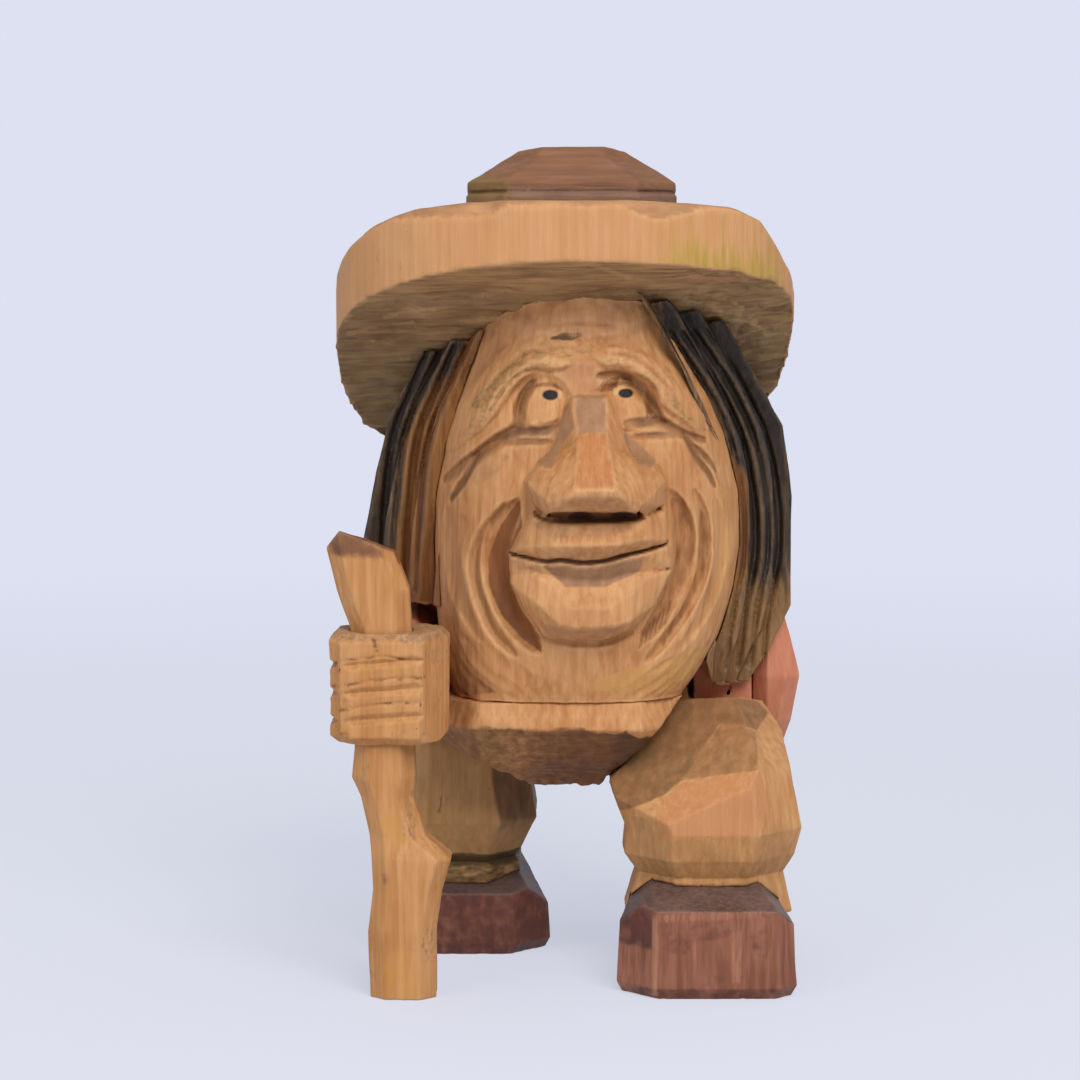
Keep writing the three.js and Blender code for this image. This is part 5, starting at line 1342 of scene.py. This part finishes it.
    def build(self) -> None:
        """Builds the head."""
        block = Block("head", self.face_step, self.blank())
        skin = ease(*self.skin_facing, block.facing)
        level_run = np.zeros(len(block.points))
        round_chin = np.column_stack([block.z - self.cheek_centre, level_run, self.middle - block.x])
        block.chip(self.cheek_cuts, skin * ease(60, 70, block.z), round_chin)
        fan = np.column_stack([block.x, level_run, block.z - self.jaw_centre])
        block.chip(self.jaw_cuts, skin * ease(70, 60, block.z), fan)
        block.chip(self.forehead_cuts, skin * ease(110, 116, block.z), X_AXIS)
        block.carve(*BROW_STROKES)
        self.set_eyes(block)
        block.carve(*FOLD_STROKES)
        block.raise_lumps(*FACE_LUMPS)
        block.carve(*MOUTH_STROKES)
        block.relax(1, 0.12 * skin)
        block.roughen(self.skin_bumps)
        self.spots(block)
        block.tint(FACE_TINTS)
        block.finish(FACE_WOOD, "face_wood", edge=2.4, hollow=0.55)


@dataclass
class Hair:
    """The two side locks and the slab at the back. Sizes are in millimetres."""

    spacing: float = 0.66
    back_spacing: float = 1.6
    right_inner: tuple[Place, ...] = ((66, -27), (80, -26.5), (97, -24.6), (115, -17))
    left_inner: tuple[Place, ...] = ((52, 27.5), (60, 27.3), (75, 30.5), (90, 30), (102, 26.3), (118, 15.6))
    width: float = 10.5
    # Each groove's share of the lock's width, half width and depth
    groove_shares: tuple[Triple, ...] = ((0.12, 0.8, 1.1), (0.34, 0.9, 1.3), (0.56, 0.9, 1.3), (0.78, 0.8, 1.0))
    groove_ends: Place = (3.0, 1.0)
    groove_places: int = 7
    back_bumps: Bumps = Bumps(0.25, (2.5, 2.5, 10.0), 45)

    def grooves(self, inner: tuple[Place, ...], side: float) -> list[Stroke]:
        """Draws the V tool's fine grooves between the broad strands.

        Args:
            inner: the lock's edge beside the face, as (height, x) pairs.
            side: 1 for the lock at +x, -1 for the other.

        Returns:
            The strokes.
        """
        low, high = inner[0][0] + self.groove_ends[0], inner[-1][0] - self.groove_ends[1]
        strokes = []
        for share, half, depth in self.groove_shares:
            heights = np.linspace(high, low, self.groove_places)
            path = [(float(level(inner, z)) + side * share * self.width, float(z)) for z in heights]
            strokes.append(Stroke(tuple(path), half, depth, taper=0.7, dark=0.3))
        return strokes

    def lock(self, node: str, inner: tuple[Place, ...], side: float, seed: int) -> Block:
        """Makes one lock, with slightly uneven grooves.

        Args:
            node: the CAD node's name.
            inner: its edge beside the face, as (height, x) pairs.
            side: 1 for the lock at +x, -1 for the other.
            seed: the seed of its unevenness.

        Returns:
            The block.
        """
        block = Block(node, self.spacing)
        block.relax(1, 0.4)
        block.carve(*self.grooves(inner, side))
        block.roughen(Bumps(0.16, (2.0, 2.0, 9.0), seed))
        block.roughen(Bumps(0.07, (0.7, 0.7, 6.0), seed + 1))
        return block

    def build(self) -> None:
        """Builds the three pieces."""
        right = self.lock("hair_right", self.right_inner, -1.0, 41)
        across = (level(self.right_inner, right.z) - right.x) / self.width
        roots = ease(103, 112, right.z) * ease(0.05, 0.3, across)
        right.masks["black"] = np.clip(ease(0.3, 0.75, across) + roots, 0, 1)
        right.masks["umber"] = 0.5 * ease(0.15, 0.5, across)
        right.finish(HAIR_WOOD, "black_hair_wash", edge=1.0)
        left = self.lock("hair_left", self.left_inner, 1.0, 43)
        across = (left.x - level(self.left_inner, left.z)) / self.width
        strip = ease(0.28, 0.12, across) * ease(67, 72, left.z) * ease(95, 90, left.z)
        left.masks["black"] = ease(62, 77, left.z) * (1 - strip) * (1 - 0.5 * ease(0.2, 0.0, across))
        left.masks["umber"] = 0.9 * (1 - strip)
        left.finish(HAIR_WOOD, "black_hair_wash", edge=0.7)
        back = Block("hair_back", self.back_spacing)
        back.relax(1, 0.4)
        back.roughen(self.back_bumps)
        back.masks["black"] = 0.55 + 0.45 * ease(70, 85, back.z)
        back.masks["umber"] = np.full(len(back.points), 0.8)
        back.finish(HAIR_WOOD, "black_hair_wash", edge=0.8)


@dataclass
class Trunk:
    """The hips and the jacket with its sleeves. Sizes are in millimetres."""

    hips_spacing: float = 1.0
    jacket_spacing: float = 1.1
    sleeve_spacing: float = 0.8
    belly_edge: tuple[Place, ...] = (
        (-20, 46.8), (-15.4, 47), (-9.4, 46.8), (-3.4, 46.9), (2.1, 46.9), (4.6, 45.7), (10, 46.4), (12.3, 44.6),
        (20, 45),
    )
    scratch: tuple[Place, ...] = ((-10.8, 42.8), (-7.8, 42.9), (-4.2, 42.9), (-0.6, 42.4))
    under_cuts: Chisel = Chisel(80, (6, 14), (1.5, 3.5), (0.2, 0.5), 0.35, 51)
    belly_cuts: Chisel = Chisel(50, (2, 4.5), (0.5, 1.2), (0.08, 0.2), 0.2, 52)
    torn_bumps: Bumps = Bumps(0.5, (1.1, 1.1, 1.6), 53)
    hip_bumps: Bumps = Bumps(0.1, (2.0, 2.0, 2.0), 57)

    def hips(self) -> None:
        """Shapes the pale belly band and the dark gouged underside, whose brown and knot washes are partly painted
        shade.
        """
        block = Block("hips", self.hips_spacing)
        block.relax(1, 0.4)
        ragged = level(self.belly_edge, block.x) + 0.5 * speckle(block.points, (2.0, 2.0, 2.0), 58)
        under = ease(0.5, -0.7, block.z - ragged)
        # Under the belly band: brown wash, with the knot wash darkening it further as painted shade
        block.masks["umber"] = under * (0.55 + 0.3 * ease(-12, 4, block.x))
        block.masks["olive"] = 0.8 * under * ease(-4, -14, block.x)
        block.masks["knot"] = 0.9 * under * np.maximum(ease(3, 10, block.x), 0.6 * ease(-14, -5, block.x))
        block.chip(self.under_cuts, under, X_AXIS)
        block.chip(self.belly_cuts, 1 - under, Z_AXIS)
        block.roughen(self.torn_bumps, ease(38, 35.2, block.z))
        block.roughen(self.hip_bumps)
        scratch, _ = off_path(smooth_path(self.scratch), block.view)
        block.masks["honey"] = 0.6 * ease(0.5, 0.2, np.abs(scratch)) * (block.facing > 0)
        # Brown wash with painted shade at the left end, behind the fist
        left_end = ease(-14, -20, block.x) * (1 - under)
        block.masks["umber"] = np.maximum(block.masks["umber"], 0.6 * left_end)
        block.finish(FACE_WOOD, "face_wood")

    def jacket(self) -> None:
        """Shapes the jacket and both sleeves."""
        red_pieces = (
            ("jacket", self.jacket_spacing, 54), ("sleeve_right", self.sleeve_spacing, 55),
            ("sleeve_left", self.sleeve_spacing, 56),
        )
        for node, spacing, seed in red_pieces:
            block = Block(node, spacing)
            block.relax(1, 0.4)
            block.masks["red"] = 0.7 + 0.25 * speckle(block.points, (6.0, 6.0, 6.0), seed + 40)
            block.roughen(Bumps(0.2, (6.0, 6.0, 8.0), seed))
            block.roughen(Bumps(0.05, (1.0, 1.0, 4.0), seed + 20))
            block.finish(JACKET_WOOD, "red_jacket_wash")

    def build(self) -> None:
        """Builds the four pieces."""
        self.hips()
        self.jacket()


@dataclass
class Grip:
    """The fist and the crooked staff it holds. Sizes are in millimetres."""

    fist_spacing: float = 0.62
    staff_spacing: float = 0.75
    knuckles: float = -35.75
    knuckle_depth: float = 4.0
    # The knuckles' limits on the front view
    low: Place = (-40.5, 48.0)
    high: Place = (-25.6, 64.0)
    groove_share: float = 0.45
    cuts: tuple[Stroke, ...] = (
        *(Stroke(path, 0.4, 0.3, dark=0.9, taper=0.8) for path in (
            ((-41.6, 60), (-38.4, 61), (-35.2, 61.3), (-32.3, 61.6), (-28.9, 61), (-25.6, 61.1)),
            ((-41.6, 56), (-37.6, 56.9), (-33.6, 57.5), (-30.9, 57.7), (-25.6, 57.8)),
            ((-41.4, 51.8), (-37.6, 52.6), (-33.6, 53.1), (-31, 53.4), (-26, 53.6)),
        )),
        Stroke(((-34.7, 64.8), (-34.2, 63.9), (-33.9, 62.6)), 0.4, 0.6, dark=0.8),
    )
    staff_tints: tuple[Tint, ...] = (
        Tint("honey", 0.8, ((-34.4, 33.5), (-30.5, 33.5), (-28.4, 29), (-30, 27.4), (-33, 28.6))),
        Tint("honey", 0.6, ((-33, 9), (-29.5, 10), (-26, 3), (-28, 0.2), (-33, 0.2))),
        Tint("umber", 0.95, ((-43, 84), (-39, 84), (-33.3, 80.6), (-32.6, 78.6), (-41.8, 78.9))),
        Tint("umber", 0.55, ((-33.6, 22.6), (-32.2, 24), (-31.8, 21.4), (-33.2, 20.4))),
    )
    fist_bumps: tuple[Bumps, ...] = (Bumps(0.18, (4.0, 4.0, 4.0), 61), Bumps(0.06, (0.8, 0.8, 1.2), 62))
    staff_bumps: tuple[Bumps, ...] = (Bumps(0.15, (4.0, 4.0, 9.0), 63), Bumps(0.05, (0.8, 0.8, 4.0), 65))

    def fist(self) -> None:
        """Shapes the fist: shallow finger grooves with broken dark lines of dirt and painted shade."""
        block = Block("fist_right", self.fist_spacing)
        sunk = block.y - self.knuckles
        front = np.all((block.view > self.low) & (block.view < self.high), axis=1)
        front &= (sunk > 0) & (sunk < self.knuckle_depth) & (block.facing > 0.1)
        block.points[:, 1] -= np.where(front, (1 - self.groove_share) * sunk, 0.0)
        block.settle()
        block.relax(1, 0.4)
        block.roughen(self.fist_bumps[0])
        block.carve(*self.cuts)
        # Breaks up the dirt and painted shade in the finger grooves
        block.dark *= ease(-0.25, 0.35, speckle(block.points, (1.1, 1.1, 1.1), 66))
        soot = ease(0.1, 0.6, speckle(block.points, (3.0, 3.0, 2.0), 67))
        block.masks["smoke"] = 0.75 * ease(63.4, 65.0, block.z) + 0.35 * soot
        block.roughen(self.fist_bumps[1])
        block.finish(BARE_WOOD, "bare_wood", hollow=0.5)

    def staff(self) -> None:
        """Shapes the staff: waxed facets and a brown upper end."""
        block = Block("staff", self.staff_spacing)
        block.relax(1, 0.4)
        block.roughen(self.staff_bumps[0])
        block.masks["smoke"] = 0.4 * ease(0.3, 0.7, speckle(block.points, (4.0, 4.0, 10.0), 64))
        block.masks["umber"] = 0.95 * ease(76.5, 77.5, block.z) * ease(0.2, 0.4, block.normals[:, 2])
        block.tint(self.staff_tints, 1.4)
        block.roughen(self.staff_bumps[1])
        block.finish(BARE_WOOD, "bare_wood")

    def build(self) -> None:
        """Builds both pieces."""
        self.fist()
        self.staff()


@dataclass
class Legs:
    """The trouser legs and the shoes. Sizes are in millimetres."""

    front_spacing: float = 0.7
    rear_spacing: float = 0.9
    soften: float = 0.35
    hem: Place = (16.0, 18.4)
    hem_edge: float = 0.4
    glue: float = 0.3
    sole_slope: Place = (0.4, 0.8)
    sole_top: float = 22.0
    front_tints: tuple[Tint, ...] = (
        Tint("umber", 0.78, ((6, 38), (12, 44), (16, 49), (20, 53), (27, 53), (31, 46.3), (27, 46), (21, 38),
                             (17, 34.5), (8, 30.6))),
        Tint("umber", 0.75, ((24, 53), (31, 53), (36.5, 47), (33.8, 45), (31, 46.3), (27, 46))),
        Tint("umber", 0.62, ((27, 46), (31, 46.3), (33.6, 45), (33.7, 39.3), (28, 38.3), (20, 36.8), (18, 35.4))),
        Tint("orange", 0.7, ((15, 30.8), (17.6, 35), (20, 36.7), (28, 38.4), (33.8, 39.3), (35.4, 33),
                             (33.4, 28), (17.4, 27))),
        Tint("olive", 0.38, ((17.4, 27), (33.2, 27.9), (33, 17), (17.6, 17))),
        Tint("olive", 0.5, ((8, 30.6), (15, 30.7), (17.4, 27), (17.6, 15), (8, 15))),
        Tint("olive", 0.4, ((33.4, 28), (38, 30), (43, 24), (40, 14), (33, 17))),
    )
    shoe_tints: tuple[Tint, ...] = (
        Tint("rubbed", 0.9, ((14.2, 14.6), (15.3, 14.6), (15.3, 0.4), (14.2, 0.4))),
        Tint("rubbed", 0.55, ((28, 12.5), (30.4, 12.5), (30.6, 3), (28.4, 3))),
        Tint("rubbed", 0.45, ((14, 15.2), (35, 16), (36, 14.6), (14, 13.8))),
        Tint("maroon", 0.42, ((15.4, 14), (29, 14.4), (28, 11), (22, 10.4), (20, 7.6), (15.6, 9))),
        Tint("maroon", 0.4, ((31, 13), (34.8, 14), (35, 7), (32, 8))),
        Tint("maroon", 0.6, ((12, 2.2), (37, 2.2), (37, -1), (12, -1))),
    )
    front_bumps: tuple[Bumps, ...] = (Bumps(0.14, (5.0, 5.0, 6.0), 72), Bumps(0.05, (1.0, 1.0, 3.0), 73))
    rear_bumps: tuple[Bumps, ...] = (Bumps(0.16, (5.0, 5.0, 6.0), 74), Bumps(0.06, (3.0, 3.0, 0.8), 75))

    def leg(self, node: str, spacing: float) -> Block:
        """Starts one leg and brings its underside down onto the shoe.

        Args:
            node: the CAD node's name.
            spacing: the longest edge of its mesh.

        Returns:
            The block.
        """
        block = Block(node, spacing)
        block.relax(1, self.soften)
        block.points[:, 2] -= self.glue * ease(*self.sole_slope, -block.normals[:, 2]) * (block.z < self.sole_top)
        block.settle()
        return block

    def trousers(self) -> None:
        """Shapes both legs: worn knee, dark thigh, olive shin, a hem band at the rear and painted shade on the rear
        leg's side toward the front leg.
        """
        front = self.leg("leg_left", self.front_spacing)
        front.tint(self.front_tints, 0.3)
        behind = ease(-0.1, -0.4, front.facing)
        front.masks["olive"] = np.maximum(front.masks["olive"], 0.7 * behind)
        rear = self.leg("leg_right", self.rear_spacing)
        rear.masks["olive"] = np.full(len(rear.points), 0.6)
        # Brown wash on the rear leg's top; on its side toward the front leg the brown is painted shade
        inner = ease(0.2, 0.6, rear.normals[:, 0]) * ease(20, 26, rear.z)
        rear.masks["umber"] = np.maximum(0.5 * ease(34, 42, rear.z), 0.75 * inner)
        low, high = self.hem
        band = ease(low - self.hem_edge, low + self.hem_edge, rear.z)
        rear.masks["hem"] = ease(high + self.hem_edge, high - self.hem_edge, rear.z) * (0.6 + 0.4 * band)
        for block, layers in ((front, self.front_bumps), (rear, self.rear_bumps)):
            for bumps in layers:
                block.roughen(bumps)
            block.finish(TROUSER_WOOD, "olive_trouser_wash")

    def shoes(self) -> None:
        """Shapes both shoes: streaked red-brown sides, a dusty instep and painted shade on the rear shoe and the front
        shoe's left chamfer.
        """
        # The rear shoe's maroon wash over all of it is painted shade
        pairs = (("shoe_left", self.front_spacing, 0.0, 76), ("shoe_right", self.rear_spacing, 0.75, 77))
        for node, spacing, dark, seed in pairs:
            block = Block(node, spacing)
            block.relax(1, self.soften)
            block.masks["red"] = 0.6 + 0.4 * speckle(block.points, (3.0, 3.0, 12.0), seed + 30)
            # Maroon on the front shoe's left chamfer is painted shade on the side away from the light
            corner = 1.0 if dark else ease(14.8, 14.3, block.x) * ease(8.0, 9.5, block.z)
            patch = ease(0.25, 0.5, speckle(block.points, (5.0, 5.0, 4.0), seed + 31))
            block.masks["maroon"] = np.clip(np.maximum(dark, 0.75 * corner) + 0.35 * patch, 0, 1)
            above = block.z - block.z.min()
            block.masks["dust"] = 0.9 * ease(0.25, 0.5, block.normals[:, 2]) * ease(8, 10, above)
            block.roughen(Bumps(0.12, (5.0, 5.0, 6.0), seed))
            if not dark:
                block.tint(self.shoe_tints, 0.4)
            block.roughen(Bumps(0.06, (0.8, 0.8, 5.0), seed + 10))
            block.finish(SHOE_WOOD, "red_brown_shoe_wash", edge=0.8)

    def build(self) -> None:
        """Builds the four pieces."""
        self.trousers()
        self.shoes()


@dataclass
class Dowels:
    """The hidden dowels, which keep their CAD shape."""

    prefix: str = "dowel_"

    def build(self) -> None:
        """Dresses every dowel."""
        for name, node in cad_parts.items():
            if name.startswith(self.prefix):
                node.data.materials.clear()
                node.data.materials.append(material_for(DOWEL_WOOD))
                LOG.info("%s: CAD shape, %s", name, DOWEL_WOOD.name)


@dataclass(frozen=True)
class Lamp:
    """A square soft lamp: its place and side in metres, and its power in watts."""

    name: str
    place: Triple
    size: float
    power: float


@dataclass
class Studio:
    """The pale paper sweep, the soft lamps and the camera. Sizes are in metres."""

    paper: str = "#DADBE2"
    backdrop: str = "#DDE1F2"
    air: str = "#EFF0F4"
    lamp_tint: Triple = (1.0, 0.97, 0.925)
    floor_glow: float = 0.68
    glow_reach: Place = (0.15, 0.7)
    floor_middle: float = 0.3
    floor_radius: float = 1.1
    sweep_radius: float = 0.5
    wall_height: float = 1.0
    turns: int = 96
    bows: int = 13
    air_strength: float = 0.26
    lamps: tuple[Lamp, ...] = (
        Lamp("key_softbox", (0.28, -0.75, 0.8), 0.55, 9.3),
        Lamp("fill_softbox", (-0.75, -0.75, 0.5), 0.8, 3.3),
        Lamp("top_softbox", (0.0, 0.1, 1.0), 0.9, 3.0),
    )
    lamp_aim: Triple = (0.0, 0.0, 0.08)
    camera_place: Triple = (-0.00545, -0.61725, 0.145)
    camera_pitch: float = 6.18
    lens: float = 112.5
    film_width: float = 36.0

    def paper_sweep(self) -> None:
        """Builds the floor that curves up into a wall all round."""
        profile = [(self.floor_middle, 0.0), (self.floor_radius, 0.0)]
        for bow in np.linspace(0.0, math.pi / 2, self.bows)[1:]:
            out, up = math.sin(bow), 1 - math.cos(bow)
            profile.append((self.floor_radius + self.sweep_radius * out, self.sweep_radius * up))
        profile.append((self.floor_radius + self.sweep_radius, self.wall_height))
        shape = bmesh.new()
        angles = [2 * math.pi * k / self.turns for k in range(self.turns)]
        rings = [[shape.verts.new((r * math.cos(a), r * math.sin(a), z)) for a in angles] for r, z in profile]
        shape.faces.new(rings[0])
        for low, high in zip(rings, rings[1:]):
            for k in range(self.turns):
                face = shape.faces.new((low[k - 1], high[k - 1], high[k], low[k]))
                face.smooth = True
        bmesh.ops.recalc_face_normals(shape, faces=shape.faces)
        mesh = bpy.data.meshes.new("paper_sweep")
        shape.to_mesh(mesh)
        shape.free()
        sweep = bpy.data.objects.new("paper_sweep", mesh)
        bpy.context.scene.collection.objects.link(sweep)
        mesh.materials.append(self.paper_finish())

    def paper_finish(self) -> bpy.types.Material:
        """Makes matt background paper that looks evenly bright to the eye and still takes the figure's shadow.

        Returns:
            The material.
        """
        # Matt background paper: even, without gloss, as bright as the studio wall behind it
        material = empty_material("matt_studio_paper")
        tree = material.node_tree
        place = add_node(tree, "TexCoord").outputs["Object"]
        sight = add_node(tree, "LightPath").outputs
        seen = add_node(tree, "Math", sight["Is Camera Ray"], sight["Is Glossy Ray"], operation="MAXIMUM").outputs[0]
        seen = add_node(tree, "Math", seen, sight["Is Transmission Ray"], operation="MAXIMUM").outputs[0]
        away = add_node(tree, "VectorMath", place, operation="LENGTH").outputs["Value"]
        limits = (away, *self.glow_reach, self.floor_glow, 1.0)
        glow = add_node(tree, "MapRange", *limits, interpolation_type="SMOOTHSTEP").outputs["Result"]
        share = add_node(tree, "Math", glow, seen, operation="MULTIPLY").outputs[0]
        matt = {"Base Color": linear(self.paper), "Roughness": 0.9, "Specular IOR Level": 0.1}
        lit = add_node(tree, "BsdfPrincipled", named=matt).outputs["BSDF"]
        bright = {"Color": linear(self.backdrop), "Strength": 1.0}
        even = add_node(tree, "Emission", named=bright).outputs["Emission"]
        mixed = add_node(tree, "MixShader", share, lit, even).outputs["Shader"]
        add_node(tree, "OutputMaterial", named={"Surface": mixed})
        return material

    def hang(self, lamp: Lamp) -> None:
        """Adds one soft lamp that points at the figure.

        Args:
            lamp: the lamp.
        """
        light = bpy.data.lights.new(lamp.name, "AREA")
        light.size = lamp.size
        light.energy = lamp.power
        light.color = self.lamp_tint
        box = bpy.data.objects.new(lamp.name, light)
        box.location = lamp.place
        aim = np.array(self.lamp_aim) - np.array(lamp.place)
        flat = math.hypot(aim[0], aim[1])
        box.rotation_euler = (math.atan2(flat, -aim[2]), 0.0, math.atan2(-aim[0], aim[1]))
        box.visible_camera = False
        bpy.context.scene.collection.objects.link(box)

    def light(self) -> None:
        """Lights the figure softly from the front, above and a little from the right."""
        for lamp in self.lamps:
            self.hang(lamp)
        world = bpy.data.worlds.new("studio_air")
        bpy.context.scene.world = world
        world.use_nodes = True
        back = world.node_tree.nodes["Background"]
        back.inputs["Color"].default_value = linear(self.air)
        back.inputs["Strength"].default_value = self.air_strength

    def camera(self) -> None:
        """Sets the camera at the photograph's viewing angle."""
        data = bpy.data.cameras.new("photo_camera")
        data.lens = self.lens
        data.sensor_width = self.film_width
        camera = bpy.data.objects.new("photo_camera", data)
        camera.location = self.camera_place
        camera.rotation_euler = (math.radians(90.0 - self.camera_pitch), 0.0, 0.0)
        bpy.context.scene.collection.objects.link(camera)
        bpy.context.scene.camera = camera

    def build(self) -> None:
        """Builds the whole studio."""
        self.paper_sweep()
        self.light()
        self.camera()
        bpy.context.scene.view_settings.view_transform = "Standard"


def main() -> None:
    """Builds the figure piece by piece, then the studio."""
    logging.basicConfig(level=logging.INFO, format="%(message)s")
    for assembly in (Hat(), Head(), Hair(), Trunk(), Grip(), Legs(), Dowels(), Studio()):
        assembly.build()
        LOG.info("built %s", type(assembly).__name__)


if __name__ == "__main__":
    main()
